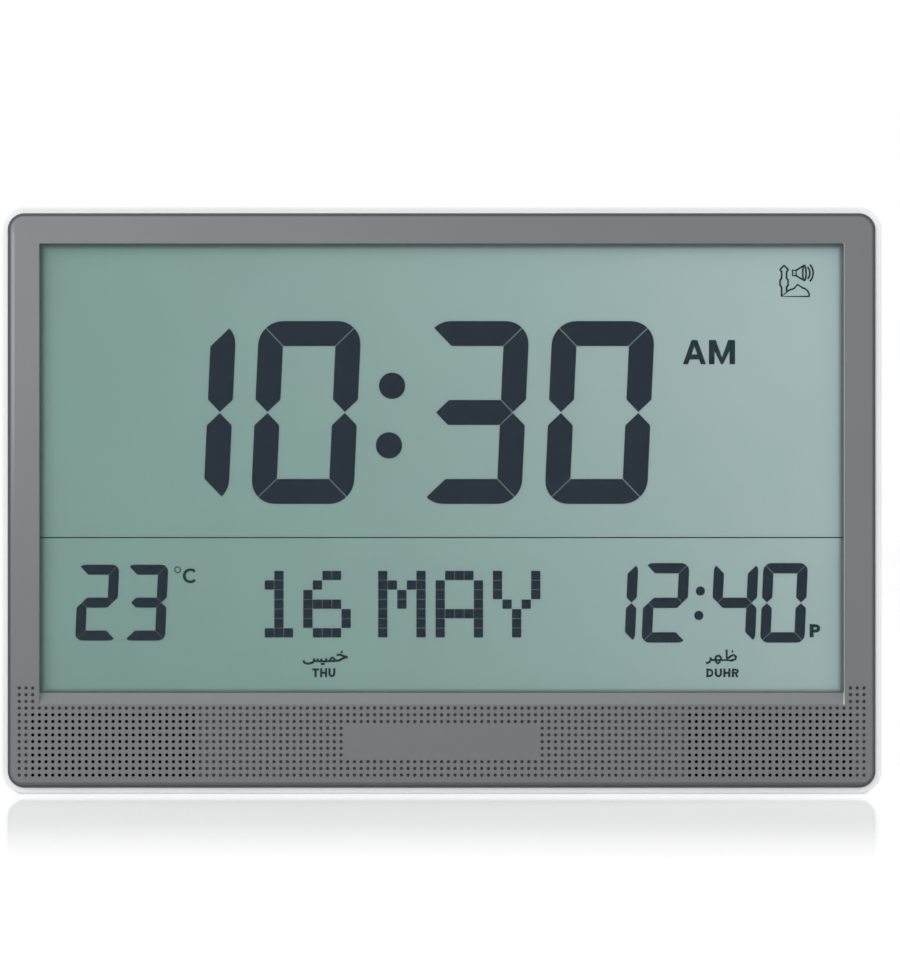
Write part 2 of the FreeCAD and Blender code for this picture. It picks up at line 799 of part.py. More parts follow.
def makeDisplay():
    """Lens, LCD cell, reflector and the tray that carries them behind the window."""
    keep(makeBox("window_lens", lensX, (plateBack, lensBack), lensZ), "window_lens")
    viewer = makeBox("viewerSheet", lensX, (glassFront, glassMiddle), lensZ)
    rearZ = (f"{lensZ[0]} + contact_strip", lensZ[1])
    rear = makeBox("rearSheet", lensX, (glassMiddle, glassBack), rearZ)
    keep(joinSolids("lcd_glass", [viewer, rear]), "lcd_glass")
    keep(makeBox("lcd_reflector", lensX, (glassBack, filmBack), rearZ), "lcd_reflector")

    tray = newBody("lcd_tray")
    outline = frontSketch(tray, "trayOutline", plateBack)
    drawBlock(outline, trayX, trayZ)
    pad(tray, outline, f"{trayBack} - {plateBack}")
    ribs = frontSketch(tray, "trayRibs", trayBack)
    for place in ("-rib_offset", "rib_offset - rib_pitch", "rib_offset"):
        drawBlock(ribs, middleOut(place, "rib_wall"), grown(trayZ, "-rib_margin"))
    pad(tray, ribs, "rib_height")
    posts = frontSketch(tray, "boardPosts", trayBack)
    for x, z in boardScrews():
        drawFacets(posts, x, z, "post_radius")
    pad(tray, posts, "board_post")
    hollow = frontSketch(tray, "trayHollow", plateBack)
    drawBlock(hollow, *(grown(ends, "tray_gap") for ends in (lensX, lensZ)))
    pocket(tray, hollow, f"{filmBack} - {plateBack}")
    notch = frontSketch(tray, "ribbonNotch", f"{glassMiddle} - ribbon_thick")
    drawBlock(notch, middleOut("ribbon_place", "ribbon_width + 2*tray_gap"), (trayZ[0], lensZ[0]))
    pocket(tray, notch, f"{filmBack} - ({glassMiddle} - ribbon_thick)")
    bores = frontSketch(tray, "postBores", f"{filmBack} + tray_floor/2")
    for x, z in boardScrews():
        drawFacets(bores, x, z, "small_screw + screw_bite")
    pocket(tray, bores, "tray_floor/2 + board_post")


def boardScrews():
    """Two opposite corners of the main board."""
    return [
        ("board_left + board_inset", "board_high - board_inset"),
        ("board_right - board_inset", "board_low + board_inset"),
    ]


def makeRibbon():
    """Heat-seal ribbon from the LCD's contact strip, round the tray's lower edge, to the main board."""
    x = middleOut("ribbon_place", "ribbon_width")
    start = glassMiddle
    under = f"({trayZ[0]} - ribbon_loop)"
    end = f"({boardFront} - ribbon_thick)"
    strip = (under, f"{lensZ[0]} + contact_strip - ribbon_thick")
    runs = [
        makeBox("ribbonDown", x, (start, f"{start} + ribbon_thick"), strip),
        makeBox("ribbonUnder", x, (start, boardFront), (under, f"{under} + ribbon_thick")),
        makeBox("ribbonUp", x, (end, boardFront), (under, "board_low + ribbon_lap")),
    ]
    keep(joinSolids("lcd_ribbon", runs), "lcd_ribbon")


# ---- boards ----


def punched(name, plate, places, radius, y):
    """A plate with round holes through it, from front to back."""
    drills = [makeRod(f"{name}Drill{i}", radius, x, y, z) for i, (x, z) in enumerate(places)]
    cut = document.addObject("Part::Cut", name)
    cut.Base = plate
    cut.Tool = group(f"{name}Drills", drills)
    return keep(cut, name)


def makeBoards():
    across = ("board_left", "board_right")
    upright = ("board_low", "board_high")
    plate = makeBox("mainPlate", across, (boardFront, boardBack), upright)
    hole = "small_screw + board_hole_play"
    punched("main_board", plate, boardScrews(), hole, (boardFront, boardBack))
    clockX = "board_left + clock_chip_in"
    soundX = "board_left + sound_chip_in"
    fitted = {
        "clock_chip": (clockX, "clock_chip_size", "clock_chip_up", "clock_chip_size", "chip_thick"),
        "sound_chip": (soundX, "sound_chip_wide", "sound_chip_up", "sound_chip_tall", "chip_thick"),
        "clock_crystal": (clockX, "crystal_wide", "crystal_up", "crystal_tall", "crystal_thick"),
    }
    for name, (x, wide, up, tall, thick) in fitted.items():
        depth = (boardBack, f"{boardBack} + {thick}")
        keep(makeBox(name, middleOut(x, wide), depth, middleOut(f"board_low + {up}", tall)), name)
    depth = (boardBack, f"{boardBack} + capacitor_length")
    cans = []
    for i in range(2):
        x = f"board_left + capacitor_in + {i}*capacitor_pitch"
        cans.append(makeRod(f"capacitor{i}", "capacitor_radius", x, depth, "board_low + capacitor_up"))
    keep(group("board_capacitors", cans), "board_capacitors")

    plate = makeBox("keyPlate", keypadX, (keyBoardFront, matFront), (keyBoardLow, keyBoardHigh))
    punched("key_board", plate, keyScrewPlaces, hole, (keyBoardFront, matFront))
    makeSensor()
    length = "board_thick + board_post"
    screws = [
        screwSolid(f"boardScrew{i}", x, z, boardBack, 1, "small", length)
        for i, (x, z) in enumerate(boardScrews())
    ]
    screws += [
        screwSolid(f"keyScrew{i}", x, z, keyBoardFront, -1, "small", length)
        for i, (x, z) in enumerate(keyScrewPlaces)
    ]
    keep(group("board_screws", screws), "board_screws")


def makeSensor():
    """Temperature bead that hangs on two wires from the key board, beside the vent slots."""
    top = f"({keyBoardLow} - bead_leg)"
    depth = f"{keyBoardFront} + board_thick/2"
    across = middleOut("keypad_place", "bead_size")
    parts = [makeBox("sensorBead", across, middleOut(depth, "bead_size"), (f"{top} - bead_size", top))]
    for i, way in enumerate("-+"):
        legX = middleOut(f"keypad_place {way} bead_size/3", "bead_wire")
        parts.append(makeBox(f"sensorLeg{i}", legX, middleOut(depth, "bead_wire"), (top, keyBoardLow)))
    keep(joinSolids("temperature_sensor", parts), "temperature_sensor")


def screwSolid(name, x, z, seat, way, kind, length):
    """A pan-head screw whose head lies on the depth seat; way is 1 where the head is at the back."""
    radius, head, thick = screwKinds[kind]
    tip = f"({seat}) - {way}*({length})"
    top = f"({seat}) + {way}*{thick}"
    shank = (tip, seat) if way > 0 else (seat, tip)
    cap = (seat, top) if way > 0 else (top, seat)
    pieces = [makeRod(f"{name}Shank", radius, x, shank, z), makeRod(f"{name}Head", head, x, cap, z)]
    return joinSolids(name, pieces)


def makeCaseScrews():
    seat = f"({back} - well_depth)"
    screws = [
        screwSolid(f"caseScrew{i}", x, z, seat, 1, "case", "screw_length")
        for i, (x, z) in enumerate(bossPlaces)
    ]
    keep(group("case_screws", screws), "case_screws")


def makeLeads():
    """Flat leads that lie on the main board: to the speakers, the cell bay and the key board."""
    y = (boardBack, f"{boardBack} + lead_thick")
    speakers = []
    for name, side in sides.items():
        start = f"{side}*(speaker_offset - magnet_wide/2)"
        turn = "board_left + lead_inset" if name == "left" else "board_right - lead_inset"
        inner = f"{turn} - {side}*lead_wide"
        across, rise = ((start, inner), (turn, inner))
        if name == "right":
            across, rise = ((inner, start), (inner, turn))
        run = makeBox(f"speakerRun{name}", across, y, middleOut("speaker_height", "lead_wide"))
        lift = makeBox(f"speakerLift{name}", rise, y, ("speaker_height", "board_low + lead_lap"))
        speakers.append(joinSolids(f"speakerLead{name}", [run, lift]))
    keep(group("speaker_leads", speakers), "speaker_leads")

    heights = ["board_high - board_inset", f"{bayZ[0]} + lead_wide"]
    turnX = ("pan_left - 2*lead_wide", "pan_left")
    runs = [
        makeBox("cellRun", ("board_right - lead_lap", "pan_left"), y, middleOut(heights[0], "2*lead_wide")),
        makeBox("cellTurn", turnX, y, grown(spanning(heights), "lead_wide")),
    ]
    keep(joinSolids("battery_leads", runs), "battery_leads")

    bend = ("keypad_right + key_ribbon_drop", "keypad_right + key_ribbon_drop + ribbon_thick")
    start = (f"{keyBoardFront} - ribbon_thick", keyBoardFront)
    startZ = [f"{keyBoardLow} + key_ribbon_inset", f"{keyBoardLow} + key_ribbon_inset + key_ribbon_wide"]
    end = (boardBack, f"{boardBack} + ribbon_thick")
    endZ = ["board_high - 2*board_inset - key_ribbon_wide", "board_high - 2*board_inset"]
    runs = [
        makeBox("keyRibbonStart", ("keypad_right - lead_lap", bend[1]), start, startZ),
        makeBox("keyRibbonDrop", bend, (boardBack, keyBoardFront), spanning(startZ + endZ)),
        makeBox("keyRibbonEnd", (bend[0], "board_left + lead_lap"), end, endZ),
    ]
    keep(joinSolids("key_ribbon", runs), "key_ribbon")


# ---- speakers ----


def makeSpeaker(name, side):
    gasketBack = f"({plateBack} + gasket_thick)"
    flangeEnd = f"({gasketBack} + flange_thick)"
    basketEnd = f"({flangeEnd} + basket_depth)"
    gasket = newBody(f"speaker_gasket_{name}")
    ring = frontSketch(gasket, "gasketRing", plateBack)
    drawRing(ring, *speakerBox(side, "0"), "gasket_edge")
    pad(gasket, ring, "gasket_thick")

    flange = document.addObject("PartDesign::Body", f"flange_{name}")
    rim = frontSketch(flange, "flangeOutline", gasketBack)
    drawBlock(rim, *speakerBox(side, "0"))
    flat = pad(flange, rim, "flange_thick")
    corners = edgesWhere(flat, lambda edge: edge.BoundBox.YLength > 0.5)
    dress(flange, "Chamfer", flat, corners, "speaker_edge/2")
    outside = [speakerBox(side, inset) for inset in ("speaker_edge", "speaker_edge + basket_slope")]
    tub = makeTaper(f"tub_{name}", *outside, (flangeEnd, basketEnd))
    wall = "speaker_edge + basket_wall"
    inside = [speakerBox(side, inset) for inset in (wall, f"{wall} + basket_slope")]
    cavity = makeTaper(f"cavity_{name}", *inside, (gasketBack, f"{basketEnd} - basket_wall"))
    cutAway(f"speaker_frame_{name}", joinSolids(f"basket_{name}", [flange, tub]), cavity)

    magnet = newBody(f"speaker_magnet_{name}")
    face = frontSketch(magnet, "magnetFace", basketEnd)
    magnetX = middleOut(f"{side}*speaker_offset", "magnet_wide")
    drawBlock(face, magnetX, middleOut("speaker_height", "magnet_tall"))
    bar = pad(magnet, face, "magnet_thick")
    corners = edgesWhere(bar, lambda edge: edge.BoundBox.YLength > 0.5)
    dress(magnet, "Chamfer", bar, corners, "magnet_bevel")

    outer = "gasket_edge + surround_gap"
    surround = newBody(f"speaker_surround_{name}")
    skin = frontSketch(surround, "surroundRing", f"{gasketBack} - surround_thick")
    drawRing(skin, *speakerBox(side, outer), "surround_edge + cone_lap")
    pad(surround, skin, "surround_thick")
    roll = frontSketch(surround, "surroundRoll", f"{gasketBack} - surround_thick*1.5")
    drawRing(roll, *speakerBox(side, f"{outer} + surround_edge/3"), "surround_edge/3")
    pad(surround, roll, "surround_thick")

    edge = f"{outer} + surround_edge"
    shape = [speakerBox(side, inset) for inset in (edge, f"{edge} + cone_slope")]
    bowl = makeTaper(f"coneBowl_{name}", *shape, (gasketBack, f"{gasketBack} + cone_depth"))
    shape = [speakerBox(side, f"{inset} + cone_wall") for inset in (edge, f"{edge} + cone_slope")]
    room = makeTaper(f"coneRoom_{name}", *shape, (gasketBack, f"{gasketBack} + cone_depth - cone_wall"))
    cutAway(f"speaker_cone_{name}", bowl, room)


def cutAway(name, base, tool):
    cut = document.addObject("Part::Cut", name)
    cut.Base = base
    cut.Tool = tool
    return keep(cut, name)


# ---- stand ----


def makeStand():
    """Fold-out leg: hinge pins moulded on, a heel that stops it, ribs inside, and a rubber pad."""
    body = newBody("stand")
    leg = frontSketch(body, "legOutline", standFront)
    drawBlock(leg, middleOut("0", "stand_width"), (standFoot, f"stand_pivot + {heel}"))
    plate = pad(body, leg, "stand_thick")
    foot = amount(standFoot)
    lower = edgesWhere(plate, lambda edge: edge.BoundBox.YLength > 0.5 and edge.BoundBox.ZMin < foot + 1e-6)
    dress(body, "Fillet", plate, lower, "stand_corner")
    pins = sideSketch(body, "hingePins")
    drawCircle(pins, standPivotY, "stand_pivot", "pin_radius")
    padAcross(body, pins, "stand_width + 2*pin_reach")
    hollow = frontSketch(body, "legHollow", standFront)
    cellZ = (f"{standFoot} + pad_height + 2*stand_web", "stand_pivot - pin_radius - stand_web")
    pitch = f"((stand_width - stand_web)/{standCells})"
    for i in range(standCells):
        cellX = (f"-stand_width/2 + stand_web + {i}*{pitch}", f"-stand_width/2 + {i + 1}*{pitch}")
        drawBlock(hollow, cellX, cellZ)
    pocket(body, hollow, "stand_thick - stand_skin")
    padSeat = frontSketch(body, "padSeat", standFront)
    padX = middleOut("0", "pad_width")
    padZ = (f"{standFoot} + stand_web", f"{standFoot} + stand_web + pad_height")
    drawBlock(padSeat, padX, padZ)
    pocket(body, padSeat, "pad_thick")
    padBox = [(f"{low} + pad_play", f"{high} - pad_play") for low, high in (padX, padZ)]
    padY = (f"{standFront} - pad_proud", f"{standFront} + pad_thick")
    keep(makeBox("stand_pad", padBox[0], padY, padBox[1]), "stand_pad")


# ---- cells, contacts and door ----


def makeBattery():
    cells = []
    plates = []
    start = bayX[0]
    for i in range(cellCount):
        z = f"bay_height + {i - (cellCount - 1) / 2}*cell_pitch"
        turned = i % 2 == 1
        low = f"{start} + contact_room" + (" + cell_nub" if turned else "")
        high = f"{low} + cell_length"
        can = makeRod(f"cellCan{i}", "cell_diameter/2", (low, high), cellY, z, cellSides)
        nub = (f"{low} - cell_nub", low) if turned else (high, f"{high} + cell_nub")
        tip = makeRod(f"cellNub{i}", "cell_nub_radius", nub, cellY, z)
        cells.append(joinSolids(f"cell{i}", [can, tip]))
    keep(group("battery_cells", cells), "battery_cells")
    for end, way in ((bayX[0], "+"), (bayX[1], "-")):
        for i in range(cellCount):
            z = f"bay_height + {i - (cellCount - 1) / 2}*cell_pitch"
            plates.append(contactSolid(f"contact{way == '+'}{i}", end, way, z))
    keep(group("battery_contacts", plates), "battery_contacts")


def contactSolid(name, end, way, z):
    """Leaf contact: a plate on the bay's end wall and a bowed leaf that meets the cell."""
    wall = end
    inner = f"{end} {way} contact_thick"
    tip = f"{end} {way} contact_room"
    ordered = (wall, inner) if way == "+" else (inner, wall)
    reach = (wall, tip) if way == "+" else (tip, wall)
    touch = f"{tip} {'-' if way == '+' else '+'} contact_thick"
    face = (touch, tip) if way == "+" else (tip, touch)
    y = middleOut(cellY, "contact_wide")
    plate = makeBox(f"{name}Plate", ordered, y, middleOut(z, "contact_wide"))
    foot = f"({z}) - contact_wide/2"
    bridge = makeBox(f"{name}Bridge", reach, y, (foot, f"{foot} + contact_thick"))
    leaf = makeBox(f"{name}Leaf", face, y, (foot, f"({z}) + contact_wide/4"))
    return joinSolids(name, [plate, bridge, leaf])


def makeDoor():
    """Battery door: two tabs under the case's lower lip, and a catch with a finger notch above."""
    body = newBody("battery_door")
    outline = frontSketch(body, "doorOutline", doorFront)
    drawBlock(outline, doorX, doorZ)
    pad(body, outline, "door_thick")
    roots = frontSketch(body, "tabRoots", tabFront)
    tongues = frontSketch(body, "tabTongues", tabFront)
    for place in tabPlaces:
        tabX = middleOut(place, "tab_wide")
        drawBlock(roots, tabX, (f"{bayZ[0]} + door_gap", f"{bayZ[0]} + door_gap + tab_thick"))
        drawBlock(tongues, tabX, (f"{seatZ[0]} - tab_reach", f"{bayZ[0]} + door_gap + tab_thick"))
    pad(body, roots, f"{doorFront} - {tabFront}")
    pad(body, tongues, "tab_thick")
    catch = frontSketch(body, "doorCatch", f"{doorFront} - catch_reach")
    catchTop = f"({bayZ[1]} - 2*door_gap)"
    drawBlock(catch, middleOut("bay_place", "catch_wide"), (f"{catchTop} - catch_thick", catchTop))
    pad(body, catch, "catch_reach")


# ---- rear keys and switch ----


def makeKeys():
    for name, (x, z) in keyPlaces.items():
        body = newBody(name)
        cap = frontSketch(body, "keyCap", flangeFront)
        drawBlock(cap, middleOut(x, "key_wide"), middleOut(z, "key_tall"))
        stem = pad(body, cap, f"{back} - key_sink - {flangeFront}")
        top = edgesWhere(stem, atDepth(f"{back} - key_sink"))
        dress(body, "Chamfer", stem, top, "key_bevel")
        lip = frontSketch(body, "keyLip", flangeFront)
        lipX = middleOut(x, "key_wide + 2*key_flange")
        drawBlock(lip, lipX, middleOut(z, "key_tall + 2*key_flange"))
        pad(body, lip, "key_flange")

    mat = newBody("key_mat")
    sheetSketch = frontSketch(mat, "matSheet", matFront)
    matX = middleOut("keypad_place", "key_pitch_x + key_wide + 2*key_flange + 2*mat_margin")
    matZ = middleOut("keypad_height + key_pitch_z/2", "3*key_pitch_z + key_tall")
    drawBlock(sheetSketch, matX, matZ)
    pad(mat, sheetSketch, "mat_thick")
    domes = frontSketch(mat, "matDomes", matBack)
    for x, z in keyPlaces.values():
        drawBlock(domes, middleOut(x, "key_wide/2"), middleOut(z, "key_tall/2"))
    pad(mat, domes, "mat_dome")

    baseBack = f"({backInside} - slot_gap)"
    baseX = middleOut(switchPlace[0], "switch_wide")
    baseZ = middleOut(switchPlace[1], "switch_tall")
    keep(makeBox("switch_base", baseX, (matFront, baseBack), baseZ), "switch_base")
    start = f"({switchPlace[0]} - switch_travel/2)"
    knobX = middleOut(start, "knob_wide")
    knobY = (f"{baseBack} + knob_play", f"{back} - key_sink")
    keep(makeBox("switch_knob", knobX, knobY, middleOut(switchPlace[1], "knob_tall")), "switch_knob")


def check(objects):
    """Stops before anything is written if an object failed or a sub-part is not a good solid."""
    for item in objects:
        if "Invalid" in item.State or "Error" in item.State:
            raise ValueError(f"{item.Name} failed: {item.State}")
    for node in nodes:
        if node.Shape.isNull() or not node.Shape.isValid() or not node.Shape.Solids:
            raise ValueError(f"{node.Label} is not a valid solid")


makeRearHousing()
makeFrontPanel()
makeDisplay()
makeRibbon()
makeBoards()
makeCaseScrews()
makeLeads()
for name, side in sides.items():
    makeSpeaker(name, side)
makeStand()
makeBattery()
makeDoor()
makeKeys()
document.recompute()
check(document.Objects)
os.makedirs("parts", exist_ok=True)
for node in nodes:
    node.Shape.exportStep(f"parts/{node.Label}.step")
    print(node.Label, len(node.Shape.Solids), round(node.Shape.Volume, 1))
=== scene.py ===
import math

import bmesh
import bpy
from mathutils import Matrix, Vector


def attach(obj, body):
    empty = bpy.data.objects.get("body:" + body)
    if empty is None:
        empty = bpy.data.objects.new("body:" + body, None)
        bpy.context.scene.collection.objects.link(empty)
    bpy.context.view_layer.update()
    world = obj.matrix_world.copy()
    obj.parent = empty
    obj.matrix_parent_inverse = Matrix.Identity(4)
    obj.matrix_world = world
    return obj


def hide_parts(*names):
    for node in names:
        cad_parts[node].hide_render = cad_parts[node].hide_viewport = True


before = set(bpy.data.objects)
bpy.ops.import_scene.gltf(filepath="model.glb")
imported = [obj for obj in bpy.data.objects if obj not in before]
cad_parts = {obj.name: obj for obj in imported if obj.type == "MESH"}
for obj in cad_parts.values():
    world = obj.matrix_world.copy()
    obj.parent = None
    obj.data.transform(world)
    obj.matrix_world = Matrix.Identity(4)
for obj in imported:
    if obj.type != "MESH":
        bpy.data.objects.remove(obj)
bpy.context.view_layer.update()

mm = 0.001
scene = bpy.context.scene
print("frame loaded")


# Selecting and shaping


def deselectAll():
    if bpy.context.object and bpy.context.object.mode != "OBJECT":
        bpy.ops.object.mode_set(mode="OBJECT")
    bpy.ops.object.select_all(action="DESELECT")


def activate(piece):
    deselectAll()
    piece.select_set(True)
    bpy.context.view_layer.objects.active = piece


def startEditing(piece, mode="FACE"):
    activate(piece)
    bpy.ops.object.mode_set(mode="EDIT")
    switchTo(mode)


def switchTo(mode):
    bpy.ops.mesh.select_mode(type=mode)
    bpy.ops.mesh.select_all(action="DESELECT")


def stopEditing():
    bpy.ops.object.mode_set(mode="OBJECT")


def pick(kind, test):
    # Selects verts by place, edges by middle and direction, or faces by middle and normal.
    data = bpy.context.object.data
    shape = bmesh.from_edit_mesh(data)
    for item in getattr(shape, kind):
        if kind == "verts":
            wanted = test(item.co / mm)
        elif kind == "edges":
            start, end = (vert.co / mm for vert in item.verts)
            wanted = test((start + end) / 2, (end - start).normalized())
        else:
            wanted = test(item.calc_center_median() / mm, item.normal)
        if wanted:
            item.select_set(True)
    bmesh.update_edit_mesh(data)


def pickRims(y):
    # Open edges that lie in one plane facing the viewer.
    data = bpy.context.object.data
    shape = bmesh.from_edit_mesh(data)
    for edge in shape.edges:
        if len(edge.link_faces) < 2 and all(abs(vert.co.y / mm - y) < 0.002 for vert in edge.verts):
            edge.select_set(True)
    bmesh.update_edit_mesh(data)


def push(y):
    bpy.ops.mesh.extrude_region_move(TRANSFORM_OT_translate={"value": (0, y * mm, 0)})


def shrink(x, z, place):
    centre = [value * mm for value in place]
    bpy.ops.transform.resize(value=(x, 1, z), center_override=centre)


def cutAway(at, normal, fill=False):
    # Cuts the edited mesh away behind a plane; the normal points to what stays.
    bpy.ops.mesh.select_all(action="SELECT")
    bpy.ops.mesh.bisect(
        plane_co=[value * mm for value in at], plane_no=normal, clear_inner=True, use_fill=fill,
        threshold=0.0001 * mm,
    )


def named(piece, name):
    piece.name = piece.data.name = name
    return piece


def box(name, x, y, z):
    deselectAll()
    middle = [mm * (ends[0] + ends[1]) / 2 for ends in (x, y, z)]
    bpy.ops.mesh.primitive_cube_add(size=1, location=middle)
    piece = named(bpy.context.object, name)
    piece.scale = [mm * (ends[1] - ends[0]) for ends in (x, y, z)]
    bpy.ops.object.transform_apply()
    return piece


def moved(piece, x=0, y=0, z=0):
    piece.data.transform(Matrix.Translation((x * mm, y * mm, z * mm)))
    return piece


def copyOf(piece, name):
    twin = piece.copy()
    twin.data = piece.data.copy()
    twin.parent = None
    for key in list(twin.keys()):
        del twin[key]
    scene.collection.objects.link(twin)
    return named(twin, name)


def discard(*pieces):
    for piece in pieces:
        bpy.data.objects.remove(piece)


def joined(name, pieces):
    activate(pieces[0])
    for piece in pieces[1:]:
        piece.select_set(True)
    if len(pieces) > 1:
        bpy.ops.object.join()
    return named(bpy.context.object, name)


def reshaped(piece, operation, **settings):
    # Runs one editing operation on all of a piece.
    startEditing(piece)
    bpy.ops.mesh.select_all(action="SELECT")
    operation(**settings)
    stopEditing()


def looseParts(piece):
    reshaped(piece, bpy.ops.mesh.separate, type="LOOSE")
    return list(bpy.context.selected_objects)


def weld(piece, within):
    reshaped(piece, bpy.ops.mesh.remove_doubles, threshold=within * mm)


def faceOut(piece):
    reshaped(piece, bpy.ops.mesh.normals_make_consistent, inside=False)


def roundCorners(piece, radius, segments):
    # Rounds the edges that run from front to back, and stays in edit mode.
    startEditing(piece, "EDGE")
    pick("edges", lambda at, way: abs(way.y) > 0.9)
    bpy.ops.mesh.bevel(offset=radius * mm, segments=segments, affect="EDGES")


def applied(piece, kind, **settings):
    activate(piece)
    modifier = piece.modifiers.new("shaping", kind)
    for key, value in settings.items():
        setattr(modifier, key, value)
    bpy.ops.object.modifier_apply(modifier=modifier.name)
    return piece


def smooth(piece, angle):
    activate(piece)
    bpy.ops.object.shade_smooth_by_angle(angle=math.radians(angle))


def dressed(piece, body, finish, slot, *nodes):
    piece.data.materials.clear()
    piece.data.materials.append(finish)
    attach(piece, body)
    if nodes:
        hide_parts(*nodes)


# Finishes

panel = {
    "x": (-180.2, 180.2), "z": (2.8, 241.2), "front": -16, "back": -13, "corner": 6.7, "roundEdge": 2,
    "windowX": 167.2, "windowLow": 37.4, "ledgeTop": 42, "windowHigh": 228.8, "windowEdge": 0.3,
    "windowCorner": 0.4, "shadeAngle": 25,
}

cells = {
    "radius": 7.2, "pitch": 15, "long": 49.2, "ease": 0.7, "sides": 48,
    "nub": 1.3, "nubRadius": 2.7, "nubRoot": 2, "nubEase": 0.3,
    "turnedZ": (116.5, 131.5), "bandFrom": 113, "turnedBandTo": 87,
}

# Where tones change on the panel, the case and the display: from and to, in millimetres.
tones = {
    "across": (-190, 150), "cornerX": (60, -185), "cornerZ": (40, 225), "lowDown": (150, 20),
    "edgeShadeX": (176.5, 177.5), "edgeShadeZ": (115.5, 116.5), "edgeShadeY": (-16, -15.5), "foot": (5.4, 4.4),
    "wallX": (166.95, 167.52), "wallZ": (37.2, 229), "wallFade": (44, 38),
    "ledgeX": 166.9, "ledgeZ": (37.3, 42.2), "gleamLeft": (-178.9, -178.3),
    "gleamRight": (-177.2, -177.8), "gleamLow": (100, 190), "gleamHigh": (238, 231),
    "lipZ": (241.6, 242.4), "lipFront": -12.4,
    "lcdAcross": (-170, 300), "lcdMargin": (2.7, 0.5), "lcdLedge": 0.6,
}


class Wire:
    # A value in a node tree; sums and products of wires become math nodes.
    def __init__(self, nodes, socket):
        self.nodes = nodes
        self.socket = socket

    def math(self, operation, *others):
        return self.nodes.calculated(operation, self, *others)

    def __add__(self, other):
        return self.math("ADD", other)

    def __sub__(self, other):
        return self.math("SUBTRACT", other)

    def __rsub__(self, other):
        return self.nodes.calculated("SUBTRACT", other, self)

    def __mul__(self, other):
        return self.math("MULTIPLY", other)

    def __abs__(self):
        return self.math("ABSOLUTE")

    __radd__ = __add__

    def span(self, low, high, start=0, end=1):
        return self.nodes.node(
            "MapRange", {"interpolation_type": "SMOOTHSTEP"},
            {"Value": self, "From Min": low, "From Max": high, "To Min": start, "To Max": end},
        )

    def above(self, level):
        return self.math("GREATER_THAN", level)

    def below(self, level):
        return self.math("LESS_THAN", level)

    def between(self, low, high):
        return self.above(low) * self.below(high)


class Nodes:
    def __init__(self, owner, ending):
        owner.use_nodes = True
        self.tree = owner.node_tree
        self.tree.nodes.clear()
        self.end = self.tree.nodes.new("ShaderNodeOutput" + ending)

    def node(self, kind, settings=None, inputs=None, output=0):
        # Kinds leave out the word ShaderNode that each of them starts with.
        made = self.tree.nodes.new("ShaderNode" + kind)
        for key, value in (settings or {}).items():
            setattr(made, key, value)
        for key, value in (inputs or {}).items():
            if isinstance(value, Wire):
                self.tree.links.new(value.socket, made.inputs[key])
            else:
                made.inputs[key].default_value = value
        return Wire(self, made.outputs[output])

    def calculated(self, operation, *values):
        return self.node("Math", {"operation": operation}, dict(enumerate(values)))

    def show(self, surface):
        self.tree.links.new(surface.socket, self.end.inputs["Surface"])

    def ray(self, kind):
        return self.node("LightPath", output=f"Is {kind} Ray")

    def blend(self, factor, first, second):
        return self.node("MixShader", inputs={0: factor, 1: first, 2: second})

    def axes(self, place):
        return [self.node("SeparateXYZ", inputs={0: place}, output=axis) for axis in "XYZ"]


class Finish(Nodes):
    def __init__(self, name, **values):
        self.material = bpy.data.materials.new(name)
        super().__init__(self.material, "Material")
        sockets = {key.replace("_", " "): value for key, value in values.items()}
        self.shader = self.node("BsdfPrincipled", inputs=sockets)
        self.show(self.shader)
        self.place = self.node("TexCoord", output="Object")
        self.x, self.y, self.z = (value * (1 / mm) for value in self.axes(self.place))

    def feed(self, **links):
        sockets = self.shader.socket.node.inputs
        for key, value in links.items():
            self.tree.links.new(value.socket, sockets[key.replace("_", " ")])
        return self.material

    def mix(self, factor, first, second):
        return self.node("Mix", {"data_type": "RGBA"}, {0: factor, 6: first, 7: second}, output=2)

    def noise(self, size, detail, stretch=None):
        place = self.place
        if stretch:
            place = self.node("Mapping", inputs={"Vector": place, "Scale": stretch})
        return self.node("TexNoise", inputs={"Vector": place, "Scale": 1 / mm / size, "Detail": detail})

    def bump(self, height, strength, depth):
        return self.node("Bump", inputs={"Height": height, "Strength": strength, "Distance": depth * mm})


white = (1, 1, 1, 1)


def rgb(red, green, blue):
    # A screen colour of 0 to 255 as the linear colour that a shader takes.
    values = [value / 255 for value in (red, green, blue)]
    return [value / 12.92 if value <= 0.04045 else ((value + 0.055) / 1.055) ** 2.4 for value in values] + [1]


def mouldedPlastic(name, colour, other, rough, grain, depth):
    finish = Finish(name)
    cloud = finish.noise(35, 3)
    spark = finish.noise(grain, 3)
    tone = finish.mix(cloud.span(0.35, 0.65), colour, other)
    shade = finish.mix(spark.span(0.3, 0.7) * 0.35, tone, [value * 0.9 for value in colour[:3]] + [1])
    return finish.feed(
        Base_Color=shade,
        Roughness=rough + (spark - 0.5) * 0.08 + (cloud - 0.5) * 0.08,
        Normal=finish.bump(spark, 0.35, depth),
    )


def wornMetal(name, colour, rough, grain, stretch=None, dull=0.7):
    finish = Finish(name, Metallic=1)
    streak = finish.noise(grain, 4, stretch)
    stain = finish.noise(6, 3)
    dark = [value * dull for value in colour[:3]] + [1]
    return finish.feed(
        Base_Color=finish.mix(stain.span(0.35, 0.75) * 0.6 + streak * 0.25, colour, dark),
        Roughness=rough + (streak - 0.5) * 0.2,
        Normal=finish.bump(streak, 0.25, 0.02),
    )


